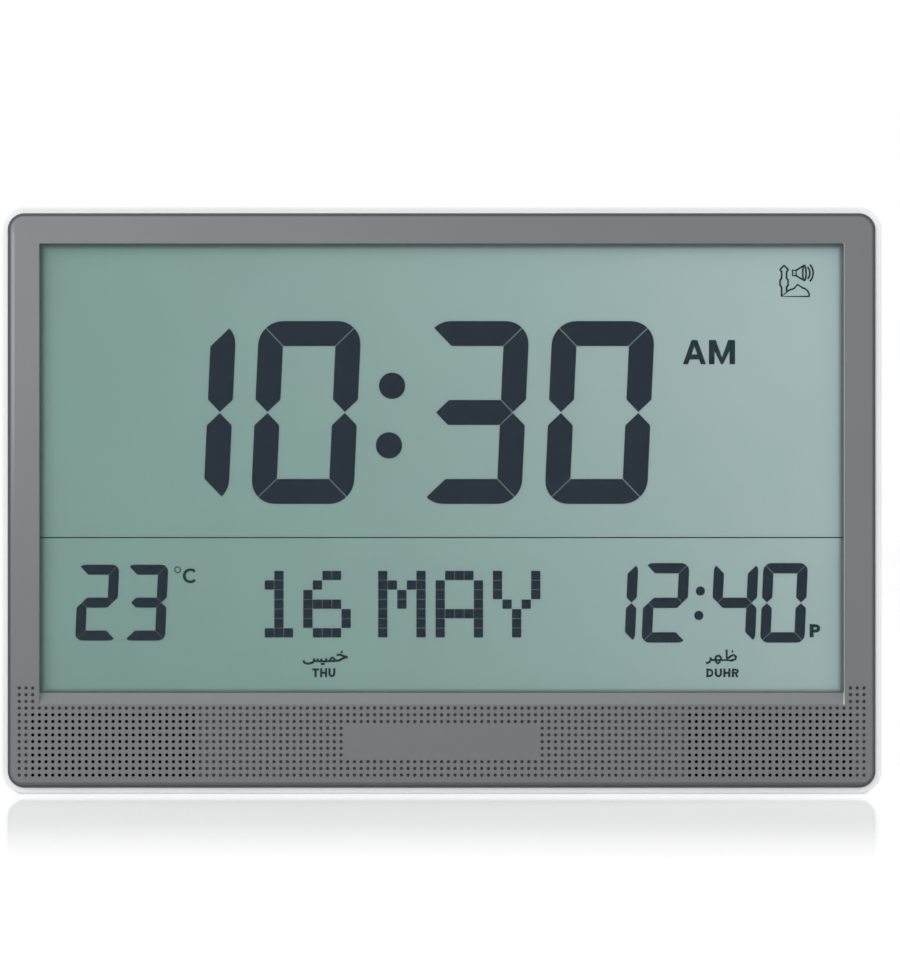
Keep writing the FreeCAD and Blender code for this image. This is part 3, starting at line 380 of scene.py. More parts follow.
def panelPlastic():
    # Matt grey moulding with painted light and shade: lighter at the left and the upper left, darker at the
    # right and towards the bottom, with painted shade round its rounded outer edge and its foot.
    finish = Finish("greyPanel", Specular_IOR_Level=0.35)
    cloud = finish.noise(60, 3)
    spark = finish.noise(0.32, 3)
    # Painted light: lighter at the left, darker at the right, and lighter still at the upper left.
    tone = finish.mix(finish.x.span(*tones["across"]), rgb(123, 125, 129), rgb(116, 118, 118))
    corner = finish.x.span(*tones["cornerX"]) * finish.z.span(*tones["cornerZ"])
    tone = finish.mix(corner * 0.9, tone, rgb(137, 138, 142))
    tone = finish.mix(cloud.span(0.35, 0.65) * 0.3, tone, rgb(120, 122, 125))
    # Painted shade: darker towards the bottom.
    tone = finish.mix(finish.z.span(*tones["lowDown"]) * 0.35, tone, rgb(108, 111, 115))
    tone = finish.mix(spark.span(0.3, 0.7) * 0.25, tone, rgb(112, 113, 116))

    # Painted shade on the rounded outer edge where it turns away from the light, and a painted shadow band
    # along the foot.
    width = abs(finish.x)
    height = abs(finish.z - sum(panel["z"]) / 2)
    outer = width.span(*tones["edgeShadeX"]).math("MAXIMUM", height.span(*tones["edgeShadeZ"]))
    edgeShade = finish.y.span(*tones["edgeShadeY"]) * outer
    foot = finish.z.span(*tones["foot"]) * 0.5
    tone = finish.mix(foot.math("MAXIMUM", edgeShade * 0.85), tone, rgb(54, 55, 57))

    # The window's right wall and the ledge catch the light, and so does a line down the left edge.
    wall = finish.x.between(*tones["wallX"]) * finish.z.between(*tones["wallZ"])
    tone = finish.mix(wall * finish.z.span(*tones["wallFade"], 0.35, 0.95), tone, rgb(196, 197, 199))
    ledge = finish.z.between(*tones["ledgeZ"]) * width.below(tones["ledgeX"])
    tone = finish.mix(ledge * 0.4, tone, rgb(136, 142, 145))
    gleam = finish.x.span(*tones["gleamLeft"]) * finish.x.span(*tones["gleamRight"])
    gleam = gleam * finish.z.span(*tones["gleamLow"]) * finish.z.span(*tones["gleamHigh"])
    tone = finish.mix(gleam * 0.55, tone, rgb(176, 177, 181))
    return finish.feed(
        Base_Color=tone, Roughness=0.5 + (spark - 0.5) * 0.12, Normal=finish.bump(spark, 0.35, 0.03)
    )


def casePlastic():
    # Gloss white moulding; the lip round its front has painted shade along the top.
    finish = Finish("whiteCase", Specular_IOR_Level=0.5)
    cloud = finish.noise(35, 3)
    spark = finish.noise(0.45, 3)
    tone = finish.mix(cloud.span(0.35, 0.65), rgb(250, 251, 252), rgb(246, 247, 248))
    tone = finish.mix(spark.span(0.3, 0.7) * 0.3, tone, rgb(238, 239, 240))
    # Painted shade: a grey line along the top of the front lip.
    lip = finish.z.span(*tones["lipZ"], 0, 0.2) * finish.y.below(tones["lipFront"])
    tone = finish.mix(lip, tone, rgb(206, 208, 210))
    return finish.feed(
        Base_Color=tone,
        Roughness=0.42 + (spark - 0.5) * 0.08 + (cloud - 0.5) * 0.08,
        Normal=finish.bump(spark, 0.35, 0.02),
    )


whiteCase = casePlastic()
greyPanel = panelPlastic()
blackAbs = mouldedPlastic("blackAbs", rgb(34, 35, 37), rgb(30, 31, 33), 0.5, 0.5, 0.03)
chipBlack = mouldedPlastic("chipBlack", rgb(26, 26, 28), rgb(32, 32, 33), 0.62, 0.2, 0.02)
keyPrint = mouldedPlastic("keyPrint", rgb(236, 237, 238), rgb(228, 229, 230), 0.5, 0.3, 0.01)
keyGrey = mouldedPlastic("keyGrey", rgb(118, 121, 124), rgb(114, 117, 120), 0.5, 0.4, 0.02)
footRubber = mouldedPlastic("footRubber", rgb(38, 38, 40), rgb(44, 44, 45), 0.82, 0.3, 0.05)
keyRubber = mouldedPlastic("keyRubber", rgb(196, 198, 196), rgb(188, 190, 189), 0.75, 0.4, 0.03)
foam = mouldedPlastic("foam", rgb(46, 46, 48), rgb(34, 34, 36), 0.95, 0.6, 0.3)
conePaper = mouldedPlastic("conePaper", rgb(38, 37, 36), rgb(48, 46, 44), 0.85, 1.1, 0.12)
ferrite = mouldedPlastic("ferrite", rgb(52, 52, 55), rgb(60, 60, 62), 0.55, 0.7, 0.05)
steel = wornMetal("steel", rgb(190, 191, 194), 0.34, 1.2)
canMetal = wornMetal("canMetal", rgb(205, 206, 208), 0.26, 0.8, (1, 1, 0.1))
contactPlate = wornMetal("contactPlate", rgb(214, 208, 190), 0.3, 0.6, (0.1, 1, 1))
reflector = wornMetal("reflector", rgb(186, 192, 190), 0.4, 0.5, (0.02, 1, 1), 0.9)


def lcdFace():
    # Grey-green liquid crystal: a soft mottled tone, with painted light that leaves it greener and darker at
    # the left and brighter towards the upper right,
    # and a painted shadow: a dim margin where the frame of the window shades it.
    finish = Finish("lcdCell", Specular_IOR_Level=0.05)
    drift = finish.noise(110, 1.5)
    cloud = finish.noise(38, 2)
    # Painted light: brighter towards the upper right.
    across = (finish.x * 0.9 + finish.z * 0.4).span(*tones["lcdAcross"])
    tone = finish.mix(across * (across * 0.65 + 0.35), rgb(129, 158, 153), rgb(183, 197, 200))
    tone = finish.mix(drift.span(0.3, 0.7) * 0.14, tone, rgb(158, 182, 181))
    tone = finish.mix(cloud.span(0.4, 0.7) * 0.12, tone, rgb(146, 180, 173))
    # Painted shadow of the window's frame round the edges.
    inside = panel["windowX"] - abs(finish.x)
    for gap in (finish.z - panel["ledgeTop"] + tones["lcdLedge"], panel["windowHigh"] - finish.z):
        inside = inside.math("MINIMUM", gap)
    tone = finish.mix(inside.span(*tones["lcdMargin"], 0, 0.77), tone, rgb(74, 90, 94))
    return finish.feed(Base_Color=tone, Roughness=0.45 + cloud * 0.1)


def displayInk(name, size, first, second):
    # Dark figures and print of the display.
    finish = Finish(name, Specular_IOR_Level=0.05)
    cloud = finish.noise(size, 2)
    return finish.feed(Base_Color=finish.mix(cloud, first, second), Roughness=0.4 + cloud * 0.15)


def clearWindow():
    # Polished clear sheet: light goes straight through, and its face gives a soft reflection.
    finish = Finish("clearLens")
    smear = finish.noise(60, 2)
    gloss = finish.node("BsdfGlossy", inputs={"Color": white, "Roughness": 0.12})
    clear = finish.node("BsdfTransparent", inputs={"Color": (0.97, 0.985, 0.98, 1)})
    # The same on both faces, so that the sheet stays clear from above too.
    slant = finish.node("LayerWeight", inputs={"Blend": 0.5}, output="Facing")
    headOn = 0.0083  # what it reflects seen straight on
    factor = (headOn + slant.math("POWER", 5)) * (0.9 + smear * 0.2)
    finish.show(finish.blend(factor, clear, gloss))
    return finish.material


def circuitBoard():
    # Green board with paler tracks in a regular layout.
    finish = Finish("boardGreen", IOR=1.5)
    upright = finish.node("Mapping", inputs={"Vector": finish.place, "Rotation": (math.radians(90), 0, 0)})
    tracks = finish.node("TexBrick", {"offset": 0.5}, {
        "Vector": upright, "Color1": (0, 0, 0, 1), "Color2": (0.3, 0.3, 0.3, 1), "Mortar": white,
        "Scale": 130, "Mortar Size": 0.04, "Mortar Smooth": 0.1, "Brick Width": 1.6, "Row Height": 0.5,
    })
    cloud = finish.noise(14, 3)
    mask = finish.mix(cloud, rgb(16, 74, 44), rgb(22, 88, 52))
    return finish.feed(
        Base_Color=finish.mix(tracks, mask, rgb(38, 118, 70)),
        Roughness=0.32 + cloud * 0.15,
        Normal=finish.bump(tracks, 0.3, 0.05),
    )


def stripes(name, base, line, pitch, width, axis):
    # Flat ribbon with parallel conductors.
    finish = Finish(name)
    along = getattr(finish, axis) * (1 / pitch)
    lines = along.math("FRACT").below(width)
    cloud = finish.noise(3, 2)
    return finish.feed(
        Base_Color=finish.mix(lines, base, line),
        Roughness=0.3 + cloud * 0.15,
        Normal=finish.bump(lines, 0.3, 0.03),
    )


def insulatedLead():
    # Red sleeve of the flat leads.
    finish = Finish("leadRed")
    cloud = finish.noise(2, 2)
    return finish.feed(
        Base_Color=finish.mix(cloud, rgb(150, 24, 20), rgb(122, 18, 16)),
        Roughness=0.38 + cloud * 0.15,
        Normal=finish.bump(cloud, 0.3, 0.05),
    )


def wrappedCell():
    # Dark sleeve with one plain silver band at the nub's end; the middle cell is turned.
    finish = Finish("cellWrap", IOR=1.5)
    cloud = finish.noise(8, 2)
    turned = finish.z.between(*cells["turnedZ"])
    band = finish.mix(turned, finish.x.above(cells["bandFrom"]), 1 - finish.x.above(cells["turnedBandTo"]))
    sleeve = finish.mix(cloud, rgb(38, 62, 104), rgb(30, 52, 92))
    return finish.feed(
        Base_Color=finish.mix(band, sleeve, rgb(196, 198, 200)),
        Roughness=0.24 + cloud * 0.12,
        Metallic=band * 0.6,
        Normal=finish.bump(cloud, 0.1, 0.1),
    )


boardGreen = circuitBoard()
ribbonFinish = stripes("ribbon", rgb(196, 190, 168), rgb(92, 88, 78), 1, 0.45, "x")
keyRibbonFinish = stripes("keyRibbon", rgb(206, 204, 196), rgb(120, 122, 126), 1, 0.5, "z")
leadRed = insulatedLead()
cellWrap = wrappedCell()
lcdCell = lcdFace()
lcdInk = displayInk("lcdInk", 9, rgb(20, 36, 48), rgb(28, 40, 54))
lcdPrintInk = displayInk("lcdPrint", 5, rgb(18, 42, 50), rgb(28, 50, 58))
clearLens = clearWindow()

partFinishes = {}
for material, names in (
    (whiteCase, "rear_housing stand battery_door"), (greyPanel, "front_panel"), (clearLens, "window_lens"),
    (lcdCell, "lcd_glass"), (reflector, "lcd_reflector"), (blackAbs, "lcd_tray switch_base switch_knob"),
    (ribbonFinish, "lcd_ribbon"), (keyRibbonFinish, "key_ribbon"), (leadRed, "speaker_leads battery_leads"),
    (boardGreen, "main_board key_board"), (chipBlack, "clock_chip sound_chip temperature_sensor"),
    (canMetal, "clock_crystal board_capacitors"), (footRubber, "stand_pad"), (keyRubber, "key_mat"),
    (cellWrap, "battery_cells"), (contactPlate, "battery_contacts"), (steel, "board_screws case_screws"),
    (keyGrey, "set_key mode_key city_key prayer_key alarm_key volume_key up_key down_key"),
):
    for name in names.split():
        partFinishes[name] = material
for side in ("left", "right"):
    for part, material in (
        ("gasket", foam), ("frame", steel), ("magnet", ferrite), ("surround", footRubber), ("cone", conePaper)
    ):
        partFinishes[f"speaker_{part}_{side}"] = material
for name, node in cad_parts.items():
    node.data.materials.clear()
    node.data.materials.append(partFinishes[name])
print("finishes ready")


# Front panel with its dot grille

grille = {
    "columns": 127, "fullRows": 11, "sideRows": 14, "pitchX": 2.786, "pitchZ": 2.786, "lowest": 7.86,
    "radius": 0.68, "mouth": 0.76, "mouthDepth": 0.12, "dimple": 1.5, "sides": 12,
    "speakerFirst": 2, "speakerColumns": 25, "speakerRows": 10,
    "plainFirst": 49, "plainColumns": 29, "plainFrom": 3, "plainRows": 5, "windowDrop": 0.3,
}


def makeCell(name, through):
    # One square of the grille with a round mouth, a short lead-in and a hole or a blind dimple.
    wide, high = grille["pitchX"], grille["pitchZ"]
    front, back = panel["front"], panel["back"]
    middle = (0, front, 0)
    deselectAll()
    bpy.ops.mesh.primitive_grid_add(
        x_subdivisions=3, y_subdivisions=3, size=1, location=(0, front * mm, 0), rotation=(math.pi / 2, 0, 0)
    )
    cell = named(bpy.context.object, name)
    cell.scale = (wide * mm, high * mm, 1)
    bpy.ops.object.transform_apply()
    startEditing(cell, "VERT")
    pick("verts", lambda at: abs(at.x) < wide / 2 - 0.1 and abs(at.z) < high / 2 - 0.1)
    bpy.ops.mesh.delete(type="VERT")
    if through:
        bpy.ops.mesh.select_all(action="SELECT")
        bpy.ops.mesh.duplicate_move(TRANSFORM_OT_translate={"value": (0, (back - front) * mm, 0)})
    bpy.ops.mesh.primitive_circle_add(
        vertices=grille["sides"], radius=grille["mouth"] * mm, fill_type="NOTHING",
        location=(0, front * mm, 0), rotation=(math.pi / 2, math.pi / grille["sides"], 0),
    )
    switchTo("EDGE")
    pick("edges", lambda at, way: abs(at.y - front) < 0.01)
    bpy.ops.mesh.bridge_edge_loops()
    switchTo("EDGE")
    pick("edges", lambda at, way: abs(at.y - front) < 0.01 and math.hypot(at.x, at.z) < grille["mouth"])
    push(y=grille["mouthDepth"])
    narrow = grille["radius"] / grille["mouth"]
    shrink(narrow, narrow, middle)
    if through:
        push(y=back - front - grille["mouthDepth"])
        pick("edges", lambda at, way: abs(at.y - back) < 0.01)
        bpy.ops.mesh.bridge_edge_loops()
    else:
        push(y=grille["dimple"])
        bpy.ops.mesh.edge_face_add()
    stopEditing()
    faceOut(cell)
    return cell


def tiled(cell, first, columns, low, rows):
    # A block of cells that starts at a column and a row of the grid.
    block = copyOf(cell, "grilleBlock")
    x = (first - (grille["columns"] - 1) / 2) * grille["pitchX"]
    moved(block, x=x, z=grille["lowest"] + low * grille["pitchZ"])
    for count, step in ((columns, (grille["pitchX"] * mm, 0, 0)), (rows, (0, 0, grille["pitchZ"] * mm))):
        if count > 1:
            applied(
                block, "ARRAY", count=count, use_relative_offset=False, use_constant_offset=True,
                constant_offset_displace=step, use_merge_vertices=True, merge_threshold=0.01 * mm,
            )
    return block


def makeGrille():
    # Through-holes over both speakers, dimples everywhere else, and a plain field in the middle.
    hole = makeCell("holeCell", True)
    dimple = makeCell("dimpleCell", False)
    columns, rows, tall = grille["columns"], grille["fullRows"], grille["sideRows"]
    first, wide, high = grille["speakerFirst"], grille["speakerColumns"], grille["speakerRows"]
    plain, plainWide = grille["plainFirst"], grille["plainColumns"]
    low, top = grille["plainFrom"], grille["plainFrom"] + grille["plainRows"]
    after = first + wide
    blocks = []
    for mirrored in (False, True):
        for cell, start, count, bottom, deep in (
            (dimple, 0, first, 0, tall),
            (hole, first, wide, 0, high),
            (dimple, first, 1, high, tall - high),
            (dimple, first + 1, wide - 1, high, rows - high),
            (dimple, after, plain - after, 0, rows),
        ):
            begin = columns - start - count if mirrored else start
            blocks.append(tiled(cell, begin, count, bottom, deep))
    blocks.append(tiled(dimple, plain, plainWide, 0, low))
    blocks.append(tiled(dimple, plain, plainWide, top, rows - top))
    discard(hole, dimple)
    sheet = joined("grilleSheet", blocks)
    weld(sheet, 0.02)
    ceiling = grille["lowest"] + (rows - 0.5) * grille["pitchZ"]
    edge = ((columns - 1) / 2 - first - 0.5) * grille["pitchX"]
    startEditing(sheet, "VERT")  # the top edge under the window keeps clear of its flare
    pick("verts", lambda at: abs(at.z - ceiling) < 0.02 and abs(at.x) < edge - 0.2)
    bpy.ops.transform.translate(value=(0, 0, -grille["windowDrop"] * mm))
    stopEditing()
    return sheet


def makeSlab():
    # Outline of the panel with round corners and front edge, open at the front and the back.
    front = panel["front"]
    slab = box("panelPlate", panel["x"], (front, panel["back"]), panel["z"])
    roundCorners(slab, panel["corner"], 12)
    switchTo("EDGE")
    pick("edges", lambda at, way: abs(at.y - front) < 0.01)
    bpy.ops.mesh.bevel(offset=panel["roundEdge"] * mm, segments=7, affect="EDGES")
    dropFaces(lambda at, normal: abs(normal.y) > 0.999)
    return slab


def makeWindow():
    # Walls of the window, with a flared front edge and a sloped ledge at the foot.
    front, back = panel["front"], panel["back"]
    wide, flare = panel["windowX"], panel["windowEdge"]
    low, high = panel["windowLow"], panel["windowHigh"]
    window = box("windowWalls", (-wide, wide), (front + flare, back), (low, high))
    roundCorners(window, panel["windowCorner"], 2)
    switchTo("FACE")
    pick("faces", lambda at, normal: normal.y < -0.999)
    push(y=-flare)
    shrink((wide + flare) / wide, (high - low + 2 * flare) / (high - low), (0, front, (low + high) / 2))
    switchTo("VERT")
    pick("verts", lambda at: abs(at.y - back) < 0.01 and at.z < low + 1)
    bpy.ops.transform.translate(value=(0, 0, (panel["ledgeTop"] - low) * mm))
    dropFaces(lambda at, normal: abs(at.y - front) < 0.01 or abs(at.y - back) < 0.01)
    return window


def dropFaces(test):
    switchTo("FACE")
    pick("faces", test)
    bpy.ops.mesh.delete(type="FACE")
    stopEditing()


def fillRims(piece, y):
    startEditing(piece, "EDGE")
    pickRims(y)
    bpy.ops.mesh.fill(use_beauty=True)
    stopEditing()


def makeRibs():
    # Skirt, posts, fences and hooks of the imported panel, just behind the new skin and each closed.
    ribs = copyOf(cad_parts["front_panel"], "panelRibs")
    weld(ribs, 0.001)
    cut = panel["back"] + 0.002
    startEditing(ribs)
    cutAway((0, cut, 0), (0, 1, 0))
    stopEditing()
    parts = looseParts(ribs)
    for part in parts:
        fillRims(part, cut)
    return parts


def makePanel():
    skin = joined("panelSkin", [makeSlab(), makeWindow(), makeGrille()])
    weld(skin, 0.002)
    for depth in (panel["front"], panel["back"]):
        fillRims(skin, depth)
    faceOut(skin)
    whole = joined("frontPanelMoulding", [skin] + makeRibs())
    smooth(whole, panel["shadeAngle"])
    startEditing(whole)
    pick("faces", lambda at, normal: abs(normal.y) > 0.999)
    bpy.ops.mesh.faces_shade_flat()
    stopEditing()
    dressed(whole, "case", greyPanel, "grey_panel", "front_panel")
    return whole


frontMoulding = makePanel()
print("front panel", len(frontMoulding.data.polygons), "faces")


# Display

# Places on the display are columns and rows of its layout, each 0.41617 mm.
display = {
    "front": -11.34, "back": -11.22, "scale": 0.41617, "column": 450, "row": 477.5,
    "middleX": 3.49, "middleZ": 131.56, "lean": 0.0457, "letterGap": 0.6, "discSides": 32,
    "signStroke": 0.8, "arabicStroke": 1.08,
}


def placeX(column):
    return (column - display["column"]) * display["scale"] + display["middleX"]


def placeZ(row):
    return (display["row"] - row) * display["scale"] + display["middleZ"]


# Which bars each figure lights: top, the two right ones, bottom, the two left ones, middle.
figures = {
    "0": "abcdef", "1": "bc", "2": "abdeg", "3": "abcdg", "4": "bcfg", "5": "acdfg",
    "6": "acdefg", "7": "abc", "8": "abcdefg", "9": "abcdfg",
}


def keepSide(at, normal):
    cutAway((at[0], 0, at[1]), (normal[0], 0, normal[1]))


def makeBar(bar, wide, high, stroke, corner, gap):
    # One bar of a figure, cut out of the rounded outline of the whole figure.
    halfX, halfZ = wide / 2, high / 2
    innerX, innerZ = halfX - stroke, halfZ - stroke
    nodeX = halfX - stroke / 2
    across = gap / 2 / math.sqrt(2)
    deselectAll()
    bpy.ops.mesh.primitive_plane_add(size=1, rotation=(math.pi / 2, 0, 0))
    piece = named(bpy.context.object, "bar")
    piece.scale = (wide * mm, high * mm, 1)
    bpy.ops.object.transform_apply()
    startEditing(piece, "VERT")
    bpy.ops.mesh.select_all(action="SELECT")
    bpy.ops.mesh.bevel(offset=corner * mm, segments=10, affect="VERTICES")
    if bar in "ad":
        way = 1 if bar == "a" else -1
        keepSide((0, way * innerZ), (0, way))
        for side in (-1, 1):
            keepSide((side * (innerX - across), way * (innerZ + across)), (-side, way))
    elif bar == "g":
        for side in (-1, 1):
            for way in (-1, 1):
                keepSide((side * (nodeX - 2 * across), 0), (-side, way))
        for way in (-1, 1):
            keepSide((0, -way * stroke / 2), (0, way))
    else:
        side = 1 if bar in "bc" else -1
        way = 1 if bar in "bf" else -1
        keepSide((side * innerX, 0), (side, 0))
        keepSide((side * (innerX + across), way * (innerZ - across)), (side, -way))
        keepSide((side * nodeX, way * 2 * across), (side, way))
        keepSide((side * nodeX, way * 2 * across), (-side, way))
    stopEditing()
    return piece


def thicken(piece):
    # Turns flat shapes in the plane of the display into thin plates.
    reshaped(piece, push, y=display["front"] - display["back"])
    moved(piece, y=display["back"])
    faceOut(piece)


def makeFigures(name, text, columns, row, **bar):
    # Figures at the given middles, leaning to the right as one.
    lean = Matrix.Identity(4)
    lean[0][2] = display["lean"]
    bars = {}
    pieces = []
    for figure, column in zip(text, columns):
        for place in figures[figure]:
            if place not in bars:
                bars[place] = makeBar(place, **bar)
            piece = copyOf(bars[place], "lit")
            piece.data.transform(lean)
            moved(piece, x=placeX(column), z=placeZ(row))
            pieces.append(piece)
    discard(*bars.values())
    whole = joined(name, pieces)
    thicken(whole)
    dressed(whole, "case", lcdInk, "lcd_cell")


def makeColon(name, diameter, *places):
    discs = []
    for column, row in places:
        deselectAll()
        bpy.ops.mesh.primitive_circle_add(
            vertices=display["discSides"], radius=diameter / 2 * display["scale"] * mm, fill_type="NGON",
            location=(placeX(column) * mm, 0, placeZ(row) * mm), rotation=(math.pi / 2, 0, 0),
        )
        bpy.ops.object.transform_apply()
        discs.append(bpy.context.object)
    whole = joined(name, discs)
    thicken(whole)
    dressed(whole, "case", lcdInk, "lcd_cell")


makeFigures(
    "hourAndMinute", "1030", (181.2, 306.2, 474.2, 599.6), 412.5,
    wide=42.6, high=76.1, stroke=10.4, corner=10, gap=0.26,
)
makeColon("clockColon", 26.4, (392.1, 385.8), (389, 445.4))
makeFigures(
    "temperatureFigures", "23", (97.3, 146.3), 602.6,
    wide=17, high=31.6, stroke=4.2, corner=3, gap=0.1,
)
makeFigures(
    "prayerFigures", "1240", (614.3, 665.4, 734.5, 783.9), 602.8,
    wide=18.5, high=33.1, stroke=4.3, corner=3.4, gap=0.14,
)
makeColon("prayerColon", 9.2, (700.3, 591), (698.8, 615.4))

dots = {
    "text": "16MAY", "columns": (264.9, 303.4, 378.3, 435.7, 493), "row": 575.4,
    "pitch": 3.98, "size": 3.84, "corner": 0.22, "shift": 0.47,
}

# Rows of each dot-matrix letter from the top; each digit names a lit column.
letters = {
    "1": ("1", "01", "1", "1", "1", "1", "012"),
    "6": ("23", "1", "0", "0123", "04", "04", "123"),
    "M": ("04", "0134", "024", "024", "04", "04", "04"),
    "A": ("123", "04", "04", "04", "01234", "04", "04"),
    "Y": ("04", "04", "04", "13", "2", "2", "2"),
}


def makeDots():
    size, pitch = dots["size"], dots["pitch"]
    dot = box("dot", (-size / 2, size / 2), (display["front"], display["back"]), (-size / 2, size / 2))
    roundCorners(dot, dots["corner"], 2)
    stopEditing()
    pieces = []
    for letter, column in zip(dots["text"], dots["columns"]):
        for index, lit in enumerate(letters[letter]):
            for place in lit:
                x = placeX(column) + (int(place) + dots["shift"]) * pitch
                z = placeZ(dots["row"]) - index * pitch
                pieces.append(moved(copyOf(dot, "litDot"), x=x, z=z))
    discard(dot)
    dressed(joined("dateMatrix", pieces), "case", lcdInk, "lcd_cell")


makeDots()


def fitted(piece, left, right, top, bottom):
    # Scales a flat piece in the plane of the display to fill its place.
    places = [vert.co for vert in piece.data.vertices]
    low = [min(place[axis] for place in places) for axis in (0, 2)]
    high = [max(place[axis] for place in places) for axis in (0, 2)]
    x0, x1, z0, z1 = placeX(left) * mm, placeX(right) * mm, placeZ(bottom) * mm, placeZ(top) * mm
    wide = (x1 - x0) / (high[0] - low[0])
    tall = (z1 - z0) / (high[1] - low[1])
    piece.data.transform(
        Matrix.Translation((x0, 0, z0)) @ Matrix.Diagonal((wide, 1, tall, 1))
        @ Matrix.Translation((-low[0], 0, -low[1]))
    )


def drawn(name, lines, width):
    # Lines as round strokes in the plane of the display; each is a row of points, open or closed.
    pieces = []
    for points, closed in lines:
        curve = bpy.data.curves.new("stroke", "CURVE")
        curve.dimensions = "3D"
        curve.bevel_depth = width / 2 * mm
        curve.bevel_resolution = 1
        curve.use_fill_caps = True
        spline = curve.splines.new("POLY")
        spline.points.add(len(points) - 1)
        for point, (x, z) in zip(spline.points, points):
            point.co = (x * mm, 0, z * mm, 1)
        spline.use_cyclic_u = closed
        piece = bpy.data.objects.new("stroke", curve)
        scene.collection.objects.link(piece)
        activate(piece)
        bpy.ops.object.convert(target="MESH")
        weld(bpy.context.object, 0.001)
        pieces.append(bpy.context.object)
    return joined(name, pieces)


def flatten(piece, front=display["front"], back=display["back"]):
    # Presses round strokes to the thickness of the print.
    deep = max(abs(vert.co.y) for vert in piece.data.vertices)
    thin = (back - front) * mm / 2 / deep
    middle = (front + back) / 2 * mm
    piece.data.transform(Matrix.Translation((0, middle, 0)) @ Matrix.Diagonal((1, thin, 1, 1)))


def arc(x, z, radiusX, radiusZ, start, end, count=8):
    turns = [math.radians(start + (end - start) * step / count) for step in range(count + 1)]
    return [(x + radiusX * math.cos(turn), z + radiusZ * math.sin(turn)) for turn in turns]


# Plain block letters: width as a share of the height, then the centre lines in a unit square.
# Lines that end on the top or the foot run past it and are cut off flush.
stem = [(0, -0.3), (0, 1.3)]
blockLetters = {
    "A": (0.95, [[(-0.1, -0.3), (0.5, 1.2)], [(1.1, -0.3), (0.5, 1.2)], [(0.2, 0.24), (0.8, 0.24)]]),
    "C": (0.9, [arc(0.52, 0.5, 0.52, 0.5, 42, 318, 16)]),
    "D": (0.85, [stem, [(0, 1), (0.45, 1)] + arc(0.45, 0.5, 0.55, 0.5, 90, -90) + [(0, 0)]]),
    "H": (0.85, [stem, [(1, -0.3), (1, 1.3)], [(0, 0.5), (1, 0.5)]]),
    "M": (1.12, [stem, [(1, -0.3), (1, 1.3)], [(-0.02, 1.2), (0.5, -0.12), (1.02, 1.2)],
                 [(0.06, 1.2), (0.5, 0.08), (0.94, 1.2)]]),
    "P": (0.75, [stem, [(0, 1), (0.6, 1)] + arc(0.6, 0.73, 0.4, 0.27, 90, -90) + [(0, 0.46)]]),
    "R": (0.85, [
        stem, [(0, 1), (0.6, 1)] + arc(0.6, 0.75, 0.4, 0.25, 90, -90) + [(0, 0.5)],
        [(0.5, 0.5), (1.05, -0.4)]]),
    "T": (0.8, [[(-0.22, 1), (1.22, 1)], [(0.5, 1), (0.5, -0.3)]]),
    "U": (0.85, [[(0, 1.3), (0, 0.35)] + arc(0.5, 0.35, 0.5, 0.35, 180, 360) + [(1, 1.3)]]),
}


def cutFlush(piece):
    # Cuts a stroke off level with the foot and the top of its letter.
    startEditing(piece)
    cutAway((0, 0, 0), (0, 0, 1), fill=True)
    cutAway((0, 0, 1), (0, 0, -1), fill=True)
    stopEditing()
    return piece


def makeWord(name, word, columns, rows, stroke):
    # Block lettering that fills its columns and rows; the stroke is a share of the height.
    strokes, cursor = [], 0
    for letter in word:
        wide, paths = blockLetters[letter]
        for path in paths:
            line = [
                (cursor + stroke / 2 + x * (wide - stroke), stroke / 2 + z * (1 - stroke)) for x, z in path
            ]
            strokes.append(cutFlush(drawn("stroke", [(line, False)], stroke)))
        cursor += wide + stroke * display["letterGap"]
    whole = joined(name, strokes)
    fitted(whole, *columns, *rows)
    flatten(whole)
    dressed(whole, "case", lcdPrintInk, "lcd_cell")


def makeSign(name, lines, width):
    # Thin drawn lines of the display, given by their columns and rows.
    placed = [([(placeX(x), placeZ(z)) for x, z in points], closed) for points, closed in lines]
    sign = drawn(name, placed, width)
    flatten(sign)
    dressed(sign, "case", lcdPrintInk, "lcd_cell")


def dialArc(column, row, radius, start, end, count=8):
    return [(x, 2 * row - y) for x, y in arc(column, row, radius, radius, start, end, count)]


makeWord("halfOfDay", "AM", (682.8, 735), (340, 364.3), 0.24)
makeWord("degreeLetter", "C", (182.8, 196), (568.3, 583.2), 0.2)
makeWord("prayerHalf", "P", (809.6, 820.3), (624, 637.2), 0.27)
makeWord("weekday", "THU", (312.4, 335.4), (668.2, 677.1), 0.26)
makeWord("prayerName", "DUHR", (706.3, 738.7), (668.5, 677.1), 0.26)
makeSign("weekdayArabic", [
    ([(336.6, 655.2), (340, 654.4), (343.4, 656), (347.7, 657)], False),
    ([(347.7, 657), (343.1, 658.1), (339.1, 660.4), (325.9, 661.2), (314.6, 661.2), (313.8, 658.3)], False),
    ([(340.9, 651.9), (342.6, 651.9)], False),
    ([(333.9, 661.2), (334.6, 658.9), (332.5, 657.4), (330.5, 658.7), (330.1, 661.2)], True),
    ([(325.9, 661.2), (326.5, 658.3)], False),
    ([(320.9, 663.9), (324.6, 663.9)], False),
    ([(321.6, 661.2), (320.9, 658.7)], False),
    ([(318.1, 661.2), (317.3, 658.7)], False),
    ([(314.3, 660.3), (312.6, 662.6), (308.5, 663.6), (304.6, 662.9), (303.4, 660.3)], False),
], display["arabicStroke"])
